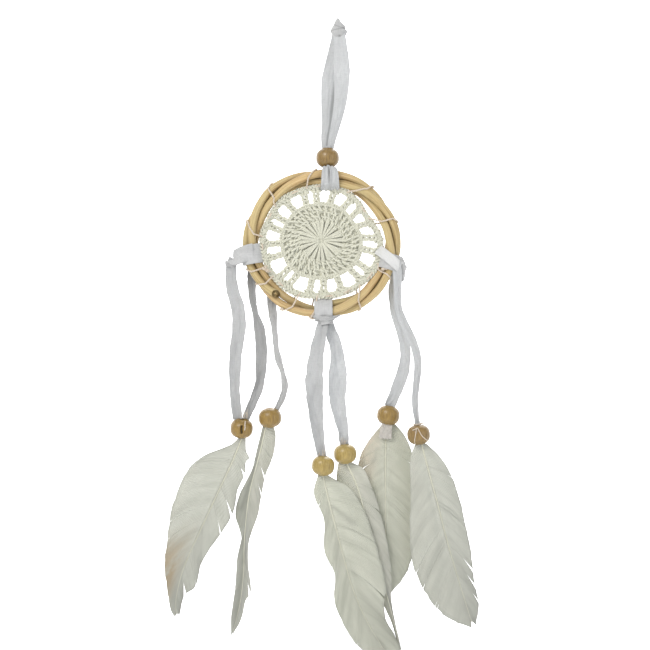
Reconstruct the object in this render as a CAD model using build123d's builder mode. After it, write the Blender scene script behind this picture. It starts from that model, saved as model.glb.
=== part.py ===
"""Dream catcher: a ring of three twisted canes that holds a crochet web and hangs from a ribbon loop.

Origin: the place where the loop hangs on its hook, just under the knot. +Z is up, and -Y faces the
viewer. Ribbons tied round the ring hang down to six beads, and each bead holds a feather.
"""
import math
import os

from build123d import *

# ---- driving dimensions, millimetres ----
RING_X, RING_Z = -9.5, -113.3        # centre of the ring
RING_A, RING_B = 39.5, 36.6          # half width and half height of the bundle's middle line
CANE_R = 2.2                         # radius of one cane
TWIST_R = 2.7                        # how far each cane winds from the bundle's middle line
TWISTS = 2                           # turns of the twist in one lap of the ring
CANE_POINTS = 48                     # points of a cane's path in a full lap
BUNDLE_R = TWIST_R + CANE_R + 0.1    # the bundle's own radius, with a little air

WEB_X, WEB_Z = -9.7, -113.3          # centre of the crochet web
WEB_A, WEB_B = 32.6, 28.5            # its half width and half height
WEB_THICK = 1.8
WEB_EDGE = 3.6                       # width of its outer chain
WEB_MAT = 0.64                       # the solid middle, as a part of the half width
SPOKES, SPOKE_WIDE = 20, 1.3

THREAD_R = 0.5
WRAPS = (19, 53, 101, 135, 168, 202, 211, 243, 258, 304, 329)   # degrees round the ring
WRAP_LEAD = 2.6                      # degrees that a wrap moves along the ring, each side
WEAVE_IN, WEAVE_Y = 4.2, 0.5         # the thread's place in the web's edge, from the bundle's skin

RIBBON_WIDE, RIBBON_THICK = 7.0, 1.2
LEG_WIDE = 8.0                       # the loop is one wider ribbon
BAND_IN, BAND_OUT = 5.5, 6.7         # a hitch's band round the ring
BAND_LONG = 10.5

BEAD_R, BEAD_HALF = 6.25, 5.75       # a bead is a little flatter than a ball
TOP_BEAD = (-6.2, 0.0, -65.0)
TOP_BORE_R, NECK_R = 3.1, 1.9
NECK_BELOW, NECK_LONG = 6.0, 17.1    # the neck's start under the top bead, and its length
HITCH_X, HITCH_Z = -4.9, -77.3       # the top hitch's middle
HITCH_IN, HITCH_OUT, HITCH_LONG = 6.1, 7.1, 10.5
BORE_R = 1.9
VANE_THICK = 1.2
QUILL_IN, QUILL_OUT = 1.0, 6.0        # the quill's top under the bead's middle, and its reach into the vane
TIE_R, TIE_OUT = 0.45, 3.6           # the thread round a bead's mouth
KNOT_LOW, KNOT_TALL = 3.0, 10.4      # the loop's knot
KNOT_X, KNOT_WIDE, KNOT_DEEP, KNOT_ROUND = 0.2, 9.4, 7.6, 3.0

BACK_Y, FRONT_Y = 6.2, -6.2          # ribbons behind and in front of the ring
LEFT_HINGE_Z, REAR_HINGE_Z, LOW_HINGE_Z, RIGHT_HINGE_Z = -137.0, -148.0, -158.6, -136.4
HINGE_AIR = 0.75                     # air between a hitch's end and the ribbon that swings from it
LOW_FRONT_AIR = 1.5                  # more air for the low front ribbon, which swings with the back one

os.makedirs("parts", exist_ok=True)


def save(part, label):
    """Name a finished piece and write it."""
    part.label = label
    export_step(part, f"parts/{label}.step")


def corner_radii(points):
    """The largest arc that each corner's two runs allow."""
    radii = []
    for before, corner, after in zip(points, points[1:], points[2:]):
        run_in = Vector(*corner) - Vector(*before)
        run_out = Vector(*after) - Vector(*corner)
        turn = math.radians(run_in.get_angle(run_out))
        radii.append(0.45 * min(run_in.length, run_out.length) / math.tan(turn / 2))
    return radii


def report(label, part, area, path_length, radii):
    """Print a swept piece's tightest radius, and its volume against section times length."""
    share = part.volume / (area * path_length)
    print(f"{label}: length {path_length:.1f}, least radius {min(radii):.1f}, volume share {share:.3f}")


def make_tube(label, points, radius):
    """A round piece along straight runs joined by arcs."""
    radii = corner_radii(points)
    with BuildPart() as tube:
        with BuildLine() as path:
            FilletPolyline(*points, radius=radii)
        line = path.wires()[0]
        with BuildSketch(Plane(origin=line @ 0, z_dir=line % 0)):
            Circle(radius)
        sweep(path=line)
    report(label, tube.part, math.pi * radius**2, line.length, radii)
    save(tube.part, label)


def make_ribbon(label, points, wide):
    """A flat ribbon whose face looks along Y."""
    radii = corner_radii(points)
    with BuildPart() as ribbon:
        with BuildLine() as path:
            FilletPolyline(*points, radius=radii)
        line = path.wires()[0]
        start = line % 0
        across = Vector(0, 1, 0).cross(start)
        with BuildSketch(Plane(origin=line @ 0, x_dir=across, z_dir=start)):
            Rectangle(wide, RIBBON_THICK)
        sweep(path=line)
    report(label, ribbon.part, wide * RIBBON_THICK, line.length, radii)
    save(ribbon.part, label)


def at_depth(y, points):
    """Points given as (x, z), placed at one depth."""
    return [(x, y, z) for x, z in points]


def ring_point(degrees, out=0.0, y=0.0):
    """A point beside the ring's middle line, moved outwards and in depth."""
    a = math.radians(degrees)
    return (RING_X + (RING_A + out) * math.cos(a), y, RING_Z + (RING_B + out) * math.sin(a))


def ring_plane(degrees):
    """A plane across the ring's bundle."""
    a = math.radians(degrees)
    tangent = (-RING_A * math.sin(a), 0, RING_B * math.cos(a))
    return Plane(origin=ring_point(degrees), x_dir=(0, 1, 0), z_dir=tangent)


# ---- the ring's three canes ----
def cane_route(start, end, phase):
    """A cane's path: it winds round the bundle's middle line."""
    count = round(CANE_POINTS * (end - start) / 360)
    route = []
    for i in range(count + 1):
        degrees = start + (end - start) * i / count
        wind = math.radians(TWISTS * degrees + phase)
        route.append(ring_point(degrees, TWIST_R * math.cos(wind), -TWIST_R * math.sin(wind)))
    return route


make_tube("ring_cane_a", cane_route(-174.5, 181.5, 112), CANE_R)
make_tube("ring_cane_b", cane_route(-91, 229, -8), CANE_R)
make_tube("ring_cane_c", cane_route(-83, 273, 232), CANE_R)

# ---- the crochet web: a solid middle, spokes and an outer chain ----
with BuildPart() as crochet_web:
    with BuildSketch(Plane((WEB_X, 0, WEB_Z), x_dir=(1, 0, 0), z_dir=(0, -1, 0))):
        Ellipse(WEB_A, WEB_B)
        Ellipse(WEB_A - WEB_EDGE, WEB_B - WEB_EDGE, mode=Mode.SUBTRACT)
        for i in range(SPOKES):
            a = 2 * math.pi * (i + 0.5) / SPOKES
            inner = (WEB_A * WEB_MAT * 0.9 * math.cos(a), WEB_B * WEB_MAT * 0.9 * math.sin(a))
            outer = ((WEB_A - 1.5) * math.cos(a), (WEB_B - 1.5) * math.sin(a))
            with BuildLine() as spoke:
                Line(inner, outer)
            trace(spoke.line, SPOKE_WIDE)
        Ellipse(WEB_A * WEB_MAT, WEB_B * WEB_MAT)
    extrude(amount=WEB_THICK / 2, both=True)
save(crochet_web.part, "crochet_web")


# ---- the thread that laces the web to the ring ----
def lacing_route():
    """Round the bundle at each wrap, and along the web's edge between wraps."""
    reach = (BUNDLE_R + THREAD_R + 0.1) / math.cos(math.pi / 6)
    route = []
    for n, wrap in enumerate(WRAPS):
        for k in range(7):
            round_it = math.radians(180 + 30 + 50 * k)
            lead = WRAP_LEAD * (k - 3) / 3
            route.append(ring_point(wrap + lead, reach * math.cos(round_it), reach * math.sin(round_it)))
        if n + 1 < len(WRAPS):
            gap = WRAPS[n + 1] - wrap
            steps = round(gap / 12)
            for k in range(1, steps):
                weave = WEAVE_Y if k % 2 else -WEAVE_Y
                route.append(ring_point(wrap + gap * k / steps, -BUNDLE_R - WEAVE_IN, weave))
    return route


make_tube("lacing_thread", lacing_route(), THREAD_R)

# ---- the hanging loop ----
with BuildPart() as loop_knot:
    with BuildSketch(Plane.XY.offset(KNOT_LOW)):
        with Locations((KNOT_X, 0)):
            RectangleRounded(KNOT_WIDE, KNOT_DEEP, KNOT_ROUND)
    extrude(amount=KNOT_TALL)
    fillet(loop_knot.faces().sort_by(Axis.Z)[-1].edges(), 2.4)
save(loop_knot.part, "loop_knot")

make_ribbon(
    "loop_leg_front",
    [(0.6, -2.2, 5.0), (1.2, -3.2, -9), (1.3, -3.2, -22), (0.2, -3.2, -35), (-2.2, -2.9, -47), (-4.6, -1.5, -59.2)],
    LEG_WIDE,
)
make_ribbon(
    "loop_leg_back",
    [(-0.2, 2.2, 5.0), (-2.2, 3.2, -9), (-4.6, 3.2, -22), (-6.2, 3.2, -35), (-6.8, 2.9, -47), (-7.4, 1.5, -59.2)],
    LEG_WIDE,
)


# ---- beads ----
def make_bead(label, centre, bore_r):
    """A turned bead with a bore along Z."""
    with BuildPart() as bead:
        with BuildSketch(Plane(centre, x_dir=(1, 0, 0), z_dir=(0, -1, 0))):
            Ellipse(BEAD_R, BEAD_HALF)
            with Locations((bore_r - BEAD_R, 0)):
                Rectangle(2 * BEAD_R, 3 * BEAD_HALF, mode=Mode.SUBTRACT)
        revolve(axis=Axis(centre, (0, 0, 1)))
    save(bead.part, label)


make_bead("top_bead", TOP_BEAD, TOP_BORE_R)

# ---- the top hitch: the loop's ribbon comes down through the bead and wraps round the ring ----
with BuildPart() as top_hitch:
    with BuildSketch(Plane((HITCH_X, 0, HITCH_Z), x_dir=(0, 1, 0), z_dir=(1, 0, 0))):
        Circle(HITCH_OUT)
    extrude(amount=HITCH_LONG / 2, both=True)
    with BuildSketch(Plane.XY.offset(TOP_BEAD[2] - BEAD_HALF - NECK_BELOW)):
        with Locations((TOP_BEAD[0], 0)):
            Circle(NECK_R)
    extrude(amount=NECK_LONG)
    with BuildSketch(Plane((HITCH_X, 0, HITCH_Z), x_dir=(0, 1, 0), z_dir=(1, 0, 0))):
        Circle(HITCH_IN)
    extrude(amount=HITCH_LONG, both=True, mode=Mode.SUBTRACT)
save(top_hitch.part, "top_hitch")


# ---- hitches of the hanging ribbons ----
def make_hitch(label, degrees, stubs):
    """A ribbon wrapped round the ring, with its free ends folded down to where they swing."""
    with BuildPart() as hitch:
        for stub in stubs:
            with BuildLine() as path:
                FilletPolyline(*stub, radius=corner_radii(stub)) if len(stub) > 2 else Line(*stub)
            line = path.wires()[0]
            start = line % 0
            across = Vector(0, 1, 0).cross(start)
            with BuildSketch(Plane(origin=line @ 0, x_dir=across, z_dir=start)):
                Rectangle(RIBBON_WIDE, RIBBON_THICK)
            sweep(path=line)
        with BuildSketch(ring_plane(degrees)):
            Circle(BAND_OUT)
        extrude(amount=BAND_LONG / 2, both=True)
        with BuildSketch(ring_plane(degrees)):
            Circle(BAND_IN)
        extrude(amount=BAND_LONG, both=True, mode=Mode.SUBTRACT)
    save(hitch.part, label)


LEFT_HITCH, LOW_HITCH, RIGHT_HITCH = 189, 272, 343.5
stub_end = LEFT_HINGE_Z + HINGE_AIR
make_hitch(
    "left_hitch",
    LEFT_HITCH,
    [
        at_depth(BACK_Y, [(-49.5, -121.0), (-58.4, -125.5), (-59.6, stub_end)]),
        at_depth(BACK_Y, [(-48.0, -118.0), (-48.3, stub_end)]),
    ],
)
make_hitch("bottom_hitch", LOW_HITCH, [at_depth(0, [(-6.4, -155.2), (-6.0, LOW_HINGE_Z + HINGE_AIR)])])
stub_end = RIGHT_HINGE_Z + HINGE_AIR
make_hitch(
    "right_hitch",
    RIGHT_HITCH,
    [
        at_depth(BACK_Y, [(30.6, -121.0), (32.0, stub_end)]),
        at_depth(FRONT_Y, [(30.8, -121.0), (33.6, stub_end)]),
    ],
)
with BuildPart() as rear_tab:
    with BuildSketch(Plane.XZ.offset(-BUNDLE_R - 0.6)):
        with BuildLine():
            Polyline((-39.8, -132.0), (-32.8, -132.0), (-34.0, REAR_HINGE_Z + HINGE_AIR),
                     (-41.0, REAR_HINGE_Z + HINGE_AIR), close=True)
        make_face()
    extrude(amount=-RIBBON_THICK)
save(rear_tab.part, "rear_tab")

# ---- hanging ribbons: (x, z) places from the hitch to the bead ----
start_z = LEFT_HINGE_Z - HINGE_AIR
make_ribbon("left_ribbon_outer", at_depth(BACK_Y - 0.9, [
    (-59.4, start_z), (-55.6, -156.0), (-57.6, -178.0), (-58.0, -196.0), (-56.4, -210.4)]), RIBBON_WIDE)
make_ribbon("left_ribbon_inner", at_depth(BACK_Y + 0.9, [
    (-48.4, start_z), (-44.8, -158.0), (-44.4, -180.0), (-46.6, -197.0), (-52.4, -210.2)]), RIBBON_WIDE)
make_ribbon("rear_ribbon", at_depth(BACK_Y, [
    (-37.6, REAR_HINGE_Z - HINGE_AIR), (-35.4, -163.0), (-31.2, -180.0), (-31.6, -193.0),
    (-35.8, -204.8)]), RIBBON_WIDE)
make_ribbon("bottom_ribbon_front", at_depth(-5.0, [
    (-9.2, LOW_HINGE_Z - LOW_FRONT_AIR), (-13.0, -177.0), (-13.6, -196.0), (-11.6, -214.5),
    (-9.0, -230.8)]), RIBBON_WIDE)
make_ribbon("bottom_ribbon_back", at_depth(0.0, [
    (-5.4, LOW_HINGE_Z - HINGE_AIR), (-1.6, -175.0), (-1.8, -193.0), (0.6, -210.0),
    (3.3, -224.6)]), RIBBON_WIDE)
start_z = RIGHT_HINGE_Z - HINGE_AIR
make_ribbon("right_ribbon_back", at_depth(BACK_Y, [
    (31.8, start_z), (31.9, -152.0), (36.4, -171.0), (35.4, -188.0), (28.8, -203.4)]), RIBBON_WIDE)
make_ribbon("right_ribbon_front", at_depth(FRONT_Y, [
    (33.7, start_z), (34.8, -151.0), (41.2, -168.0), (42.6, -184.0), (41.8, -199.0),
    (43.8, -212.4)]), RIBBON_WIDE)


# ---- feathers ----
def make_feather(label, bead_centre, left, right):
    """A feather: its quill stands in the bead's bore, and its vane is one thin shaped sheet."""
    x, y, z = bead_centre
    quill_top, quill_end = z - QUILL_IN, max(left[0][1], right[0][1]) - QUILL_OUT
    with BuildPart() as feather:
        with BuildSketch(Plane.XZ.offset(-y)):
            with BuildLine():
                Spline(*left)
                Spline(left[-1], *right)
                Line(right[-1], left[0])
            make_face()
        extrude(amount=VANE_THICK / 2, both=True)
        with BuildSketch(Plane.XY.offset(quill_end)):
            with Locations((x, y)):
                Circle(BORE_R)
        extrude(amount=quill_top - quill_end)
    save(feather.part, label)


# each bead's centre, then its feather's left edge downwards and right edge upwards, as (x, z)
FEATHERS = {
    "outer_left": (
        (-54.6, BACK_Y, -216.7),
        [(-57.0, -224.0), (-64.0, -227.5), (-75.5, -232.0), (-84.5, -239.5), (-90.5, -251.5), (-94.5, -264.0),
         (-96.5, -279.5), (-98.0, -293.5), (-96.5, -308.0), (-94.5, -320.0), (-92.0, -323.0)],
        [(-89.5, -321.5), (-87.5, -312.5), (-81.0, -307.0), (-77.5, -293.5), (-72.0, -284.0), (-64.5, -273.5),
         (-59.0, -263.0), (-57.0, -252.0), (-53.0, -243.0), (-50.8, -234.0), (-53.0, -224.0)],
    ),
    "inner_left": (
        (-38.6, BACK_Y, -210.8),
        [(-42.5, -218.0), (-45.5, -228.5), (-48.8, -242.0), (-54.6, -254.0), (-56.8, -265.5), (-54.0, -279.5),
         (-56.5, -291.0), (-57.5, -307.0), (-60.0, -325.0), (-60.0, -333.0)],
        [(-55.0, -325.0), (-52.5, -314.5), (-49.5, -309.5), (-51.0, -294.0), (-50.5, -280.5), (-46.0, -267.5),
         (-44.0, -257.5), (-41.5, -244.5), (-37.0, -232.5), (-36.0, -223.0), (-37.0, -218.0)],
    ),
    "bottom_front": (
        (-8.7, -5.0, -236.9),
        [(-11.0, -244.0), (-13.5, -254.0), (-8.0, -267.5), (-8.0, -285.0), (-2.0, -298.5), (-2.5, -312.0),
         (1.5, -324.0), (8.0, -335.0), (17.5, -344.5)],
        [(35.5, -343.0), (32.0, -333.0), (26.5, -323.0), (25.5, -314.5), (26.5, -304.0), (21.0, -281.5),
         (15.5, -265.0), (10.5, -255.0), (3.5, -248.5), (-5.5, -244.0)],
    ),
    "bottom_back": (
        (3.6, 0.0, -230.7),
        [(0.5, -238.0), (-0.5, -246.5), (3.5, -262.0), (7.5, -279.0), (14.5, -295.5), (23.0, -311.5),
         (29.5, -325.0), (33.5, -340.5)],
        [(35.5, -339.5), (33.5, -328.0), (30.0, -312.5), (30.0, -298.5), (27.5, -281.5), (23.0, -262.0),
         (16.5, -246.5), (9.0, -238.0)],
    ),
    "inner_right": (
        (28.0, BACK_Y, -209.4),
        [(24.0, -216.5), (17.5, -224.0), (13.5, -235.0), (12.0, -251.0), (14.5, -267.5), (19.0, -284.5),
         (25.0, -300.0), (27.0, -311.0)],
        [(30.0, -308.0), (36.5, -301.5), (41.0, -291.0), (43.5, -273.5), (43.0, -253.5), (41.0, -237.0),
         (36.5, -226.0), (32.0, -216.5)],
    ),
    "outer_right": (
        (44.5, FRONT_Y, -219.5),
        [(41.5, -226.5), (40.0, -235.0), (40.0, -253.5), (39.5, -273.5), (40.5, -290.0), (45.5, -303.5),
         (53.5, -316.0), (62.5, -323.0), (73.0, -327.5)],
        [(77.5, -322.5), (78.0, -314.0), (76.0, -304.5), (73.5, -283.5), (71.0, -271.0), (67.5, -255.5),
         (62.5, -241.5), (55.5, -232.5), (48.5, -226.5)],
    ),
}
for place, (centre, left_edge, right_edge) in FEATHERS.items():
    make_bead(f"{place}_bead", centre, BORE_R)
    make_feather(f"{place}_feather", centre, left_edge, right_edge)

# ---- the thread tied round the outer right bead's mouth ----
TIE_AT = (44.5, FRONT_Y, -213.9)
with BuildPart() as bead_tie:
    with BuildSketch(Plane(TIE_AT, x_dir=(1, 0, 0), z_dir=(0, -1, 0))):
        with Locations((TIE_OUT, 0)):
            Circle(TIE_R)
    revolve(axis=Axis(TIE_AT, (0, 0, 1)))
save(bead_tie.part, "bead_tie")
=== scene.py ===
"""Dream catcher, looks: canes, crochet, ribbons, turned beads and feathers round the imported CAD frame."""
import math

import bpy
import numpy as np
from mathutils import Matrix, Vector


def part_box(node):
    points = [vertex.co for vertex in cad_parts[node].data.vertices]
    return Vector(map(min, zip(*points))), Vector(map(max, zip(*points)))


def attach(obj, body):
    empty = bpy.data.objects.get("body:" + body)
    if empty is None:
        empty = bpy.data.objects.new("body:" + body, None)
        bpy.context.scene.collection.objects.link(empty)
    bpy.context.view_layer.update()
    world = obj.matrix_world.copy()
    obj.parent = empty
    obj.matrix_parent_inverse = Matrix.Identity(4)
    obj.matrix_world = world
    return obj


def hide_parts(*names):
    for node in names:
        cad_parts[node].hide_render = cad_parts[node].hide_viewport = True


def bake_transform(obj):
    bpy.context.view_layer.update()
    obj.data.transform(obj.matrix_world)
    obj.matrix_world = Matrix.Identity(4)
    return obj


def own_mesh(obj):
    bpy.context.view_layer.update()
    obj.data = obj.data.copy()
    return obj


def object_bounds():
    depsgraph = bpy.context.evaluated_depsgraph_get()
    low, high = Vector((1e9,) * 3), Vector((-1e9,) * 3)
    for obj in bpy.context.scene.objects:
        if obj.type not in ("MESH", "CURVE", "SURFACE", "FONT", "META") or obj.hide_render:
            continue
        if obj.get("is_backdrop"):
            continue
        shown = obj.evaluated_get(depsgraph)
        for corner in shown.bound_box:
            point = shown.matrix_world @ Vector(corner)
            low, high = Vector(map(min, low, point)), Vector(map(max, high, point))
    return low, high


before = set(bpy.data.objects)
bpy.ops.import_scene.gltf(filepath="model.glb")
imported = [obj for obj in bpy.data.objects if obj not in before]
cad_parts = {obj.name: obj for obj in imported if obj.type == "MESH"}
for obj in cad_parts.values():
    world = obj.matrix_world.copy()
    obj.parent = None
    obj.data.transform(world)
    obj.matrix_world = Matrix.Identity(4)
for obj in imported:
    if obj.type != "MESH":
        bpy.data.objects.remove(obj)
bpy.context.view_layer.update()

MM = 0.001
RING_X, RING_Z = -9.5, -113.3        # ring centre, millimetres, as in the CAD source
RING_A, RING_B = 39.5, 36.6
TWIST_R, TWISTS = 2.7, 2             # the canes' middles wind round the ring's line
CANE_R = 2.18
TOP_BULGE = 1.1                      # how far the ring's top is from a true ellipse
BACK_Y, FRONT_Y = 6.2, -6.2          # how deep the strands behind and in front of the ring hang
TAU = 2 * math.pi


# ---------------------------------------------------------------- lines and frames
def unit(v):
    return v / np.maximum(np.linalg.norm(v, axis=-1, keepdims=True), 1e-12)


def resample(line, count):
    """A line's points, evenly spaced along it."""
    steps = np.linalg.norm(np.diff(line, axis=0), axis=1)
    at = np.concatenate([[0], np.cumsum(steps)])
    want = np.linspace(0, at[-1], count)
    return np.stack([np.interp(want, at, line[:, k]) for k in range(line.shape[1])], 1)


def smooth(points, count):
    """An even curve through the points (Catmull-Rom)."""
    p = np.array(points, float)
    p = np.vstack([2 * p[0] - p[1], p, 2 * p[-1] - p[-2]])
    t = np.linspace(0, 1, 14, endpoint=False)[:, None]
    spans = []
    for a, b, c, d in zip(p, p[1:], p[2:], p[3:]):
        spans.append(0.5 * (2 * b + (c - a) * t + (2 * a - 5 * b + 4 * c - d) * t**2
                            + (3 * b - a - 3 * c + d) * t**3))
    return resample(np.vstack(spans + [p[-2][None]]), count)


def nurbs(points, count):
    """A cord's own line: the smooth spline that has its route as control points."""
    data = bpy.data.curves.new("route", "CURVE")
    data.dimensions = "3D"
    spline = data.splines.new("NURBS")
    spline.points.add(len(points) - 1)
    for point, place in zip(spline.points, points):
        point.co = (*place, 1)
    spline.order_u = 3
    spline.use_endpoint_u = True
    spline.resolution_u = 24
    holder = bpy.data.objects.new("route", data)
    bpy.context.scene.collection.objects.link(holder)
    bpy.context.view_layer.update()
    mesh = bpy.data.meshes.new_from_object(holder)
    line = np.array([v.co for v in mesh.vertices])
    bpy.data.objects.remove(holder)
    bpy.data.meshes.remove(mesh)
    bpy.data.curves.remove(data)
    return resample(line, count)


def transport(line, first):
    """Two side directions that follow the line without spinning round it."""
    tangent = unit(np.gradient(line, axis=0))
    side = np.zeros_like(line)
    last = np.array(first, float)
    for i, t in enumerate(tangent):
        last = last - t * (last @ t)
        last = last / np.linalg.norm(last)
        side[i] = last
    return tangent, side, np.cross(tangent, side)


def wobble(s, pitch, seed):
    """Smooth noise between about -1 and 1 along s."""
    r = np.random.default_rng(seed)
    total = np.zeros_like(s, dtype=float)
    for k, share in enumerate((0.55, 0.3, 0.15)):
        total = total + share * np.sin(TAU * s / pitch * (1 + 0.83 * k) + r.uniform(0, TAU))
    return total


def table(values, t):
    """Values given at even places from 0 to 1, read smoothly at t."""
    v = smooth([[x] for x in values], 200)[:, 0] if len(values) > 2 else np.array(values, float)
    return np.interp(t, np.linspace(0, 1, len(v)), v)


def ring_point(degrees, out=0.0, y=0.0):
    a = np.radians(degrees)
    out = out + TOP_BULGE * np.maximum(0, np.cos(a - math.radians(105))) ** 2
    return np.stack([RING_X + (RING_A + out) * np.cos(a), np.zeros_like(a) + y,
                     RING_Z + (RING_B + out) * np.sin(a)], -1)


# ---------------------------------------------------------------- meshes
class Skin:
    """Collects closed surfaces for one mesh. Each point carries a 'flow' place for the material and a
    'shade', the painted shade that darkens its colour.
    """

    def __init__(self):
        self.points, self.flows, self.shades, self.faces, self.count = [], [], [], [], 0

    def grid(self, points, flow, wrap=True, caps=True, shade=0.0):
        """Rows of points as a surface, closed round the rows if wrap is set. Millimetres."""
        n, m = points.shape[:2]
        index = np.arange(n * m).reshape(n, m) + self.count
        a, b = (index, np.roll(index, -1, axis=1)) if wrap else (index[:, :-1], index[:, 1:])
        quads = np.stack([a[:-1], b[:-1], b[1:], a[1:]], -1).reshape(-1, 4)
        self.faces.extend(quads.tolist())
        if caps:
            self.faces.append(index[0, ::-1].tolist())
            self.faces.append(index[-1].tolist())
        self.points.append(points.reshape(-1, 3))
        self.flows.append(np.broadcast_to(flow, (n, m, 3)).reshape(-1, 3))
        self.shades.append(np.broadcast_to(shade, (n, m)).ravel())
        self.count += n * m

    def tube(self, line, radius, sides=8, first=(0, 1, 0), squash=1.0, along=0.0, core=None):
        """A round tube; radius may change along it. It is darker towards core, the middle of its yarn:
        painted shade between the plies.
        """
        tangent, side, other = transport(line, first)
        radius = np.broadcast_to(np.asarray(radius, float), (len(line),))
        a = np.linspace(0, TAU, sides, endpoint=False)
        ring_side, ring_other = np.cos(a), np.sin(a) * squash
        points = (line[:, None] + radius[:, None, None] * (
            side[:, None] * ring_side[None, :, None] + other[:, None] * ring_other[None, :, None]))
        at = np.concatenate([[0], np.cumsum(np.linalg.norm(np.diff(line, axis=0), axis=1))]) + along
        flow = np.stack([radius[:, None] * ring_side, radius[:, None] * ring_other,
                         np.broadcast_to(at[:, None], (len(line), sides))], -1)
        shade = 0.0
        if core is not None:
            depth = np.linalg.norm(points - core[:, None], axis=-1) / (2 * radius[:, None])
            shade = np.clip(1.0 - depth / 0.8, 0, 1)
        self.grid(points, flow, shade=shade)

    def yarn(self, points, radius=0.55, pitch=2.3, plies=3, density=3.0, taper=None, seed=0):
        """Yarn or thread: plies that wind round one another along a smooth line."""
        line = smooth(points, 40)
        length = np.linalg.norm(np.diff(line, axis=0), axis=1).sum()
        line = smooth(points, max(6, int(length * density)))
        tangent, side, other = transport(line, (0.3, 1, 0.2))
        at = np.linspace(0, length, len(line))
        size = np.full(len(line), float(radius)) if taper is None else radius * table(taper, at / length)
        for k in range(plies):
            wind = TAU * (at / pitch + k / plies) + seed
            off = side * np.cos(wind)[:, None] + other * np.sin(wind)[:, None]
            self.tube(line + 0.5 * size[:, None] * off, size * 0.56, sides=5, along=seed * 7.3 + k * 31,
                      core=line)

    def build(self, name, material, body=None, replaces=(), shade=None):
        mesh = bpy.data.meshes.new(name)
        points = np.vstack(self.points)
        mesh.from_pydata((points * MM).tolist(), [], self.faces)
        mesh.shade_smooth()
        dark = np.concatenate(self.shades)
        if shade is not None:
            dark = np.clip(dark + shade(points), 0, 1)
        mesh.attributes.new("shade", "FLOAT", "POINT").data.foreach_set("value", dark.astype(np.float32))
        flow = mesh.attributes.new("flow", "FLOAT_VECTOR", "POINT")
        flow.data.foreach_set("vector", np.vstack(self.flows).astype(np.float32).ravel())
        mesh.materials.append(material)
        mesh.validate()
        piece = bpy.data.objects.new(name, mesh)
        bpy.context.scene.collection.objects.link(piece)
        if body:
            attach(piece, body)
        if replaces:
            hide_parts(*replaces)
        return piece


# ---------------------------------------------------------------- materials
class Nodes:
    """A short way to write a material's nodes."""

    def __init__(self, name):
        self.material = bpy.data.materials.new(name)
        self.material.use_nodes = True
        self.tree = self.material.node_tree
        self.tree.nodes.clear()
        self.out = self.tree.nodes.new("ShaderNodeOutputMaterial")
        self.flow = self.add("ShaderNodeAttribute", attribute_name="flow").outputs["Vector"]
        self.shade = self.add("ShaderNodeAttribute", attribute_name="shade").outputs["Fac"]

    def add(self, kind, inputs=None, **values):
        node = self.tree.nodes.new(kind)
        for key, value in values.items():
            setattr(node, key, value)
        for key, value in (inputs or {}).items():
            if isinstance(value, bpy.types.NodeSocket):
                self.tree.links.new(value, node.inputs[key])
            else:
                node.inputs[key].default_value = value
        return node

    def scaled(self, x, y, z, vector=None):
        return self.add("ShaderNodeVectorMath", {0: vector or self.flow, 1: (x, y, z)},
                        operation="MULTIPLY").outputs[0]

    def noise(self, vector, scale=1.0, detail=3.0, rough=0.55):
        return self.add("ShaderNodeTexNoise", {"Vector": vector, "Scale": scale, "Detail": detail,
                                               "Roughness": rough}).outputs["Fac"]

    def ramp(self, fac, stops):
        node = self.add("ShaderNodeValToRGB", {"Fac": fac})
        elements = node.color_ramp.elements
        elements[0].position, elements[0].color = stops[0][0], (*stops[0][1], 1)
        elements[1].position, elements[1].color = stops[-1][0], (*stops[-1][1], 1)
        for place, colour in stops[1:-1]:
            elements.new(place).color = (*colour, 1)
        return node.outputs["Color"]

    def math(self, operation, a, b=0.0):
        return self.add("ShaderNodeMath", {0: a, 1: b}, operation=operation).outputs[0]

    def mix(self, fac, a, b):
        node = self.add("ShaderNodeMix", data_type="RGBA")
        for socket, value in ((node.inputs[0], fac), (node.inputs[6], a), (node.inputs[7], b)):
            if isinstance(value, bpy.types.NodeSocket):
                self.tree.links.new(value, socket)
            else:
                socket.default_value = (*value, 1)
        return node.outputs[2]

    def over(self, colour, other, fac, *stops):
        """Colour, with another laid over it by a ramp of (place, share) stops along fac."""
        return self.mix(self.ramp(fac, [(place, (share,) * 3) for place, share in stops]), colour, other)

    def sum(self, a, share_a, b, share_b):
        return self.math("ADD", self.math("MULTIPLY", a, share_a), self.math("MULTIPLY", b, share_b))

    def bump(self, height, distance, strength=1.0):
        return self.add("ShaderNodeBump", {"Height": height, "Distance": distance,
                                           "Strength": strength}).outputs["Normal"]

    def finish(self, colour, roughness, normal=None, sheen=0.0, coat=0.0, specular=0.5, through=0.0,
               dark=0.55):
        # painted shade: the 'shade' attribute darkens the colour, by up to dark
        keep = self.math("SUBTRACT", 1.0, self.math("MULTIPLY", self.shade, dark))
        colour = self.add("ShaderNodeVectorMath", {0: colour, "Scale": keep}, operation="SCALE").outputs[0]
        inputs = {"Base Color": colour, "Roughness": roughness, "Specular IOR Level": specular}
        if normal is not None:
            inputs["Normal"] = normal
        if sheen:
            inputs["Sheen Weight"] = sheen
            inputs["Sheen Roughness"] = 0.5
        if coat:
            inputs["Coat Weight"] = coat
            inputs["Coat Roughness"] = 0.22
        shader = self.add("ShaderNodeBsdfPrincipled", inputs).outputs[0]
        if through:
            inputs = {"Color": colour}
            if normal is not None:
                inputs["Normal"] = normal
            back = self.add("ShaderNodeBsdfTranslucent", inputs).outputs[0]
            shader = self.add("ShaderNodeMixShader", {0: through, 1: shader, 2: back}).outputs[0]
        self.tree.links.new(shader, self.out.inputs["Surface"])
        return self.material


def times(colour, share):
    return tuple(min(1, c * share) for c in colour)


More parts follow.
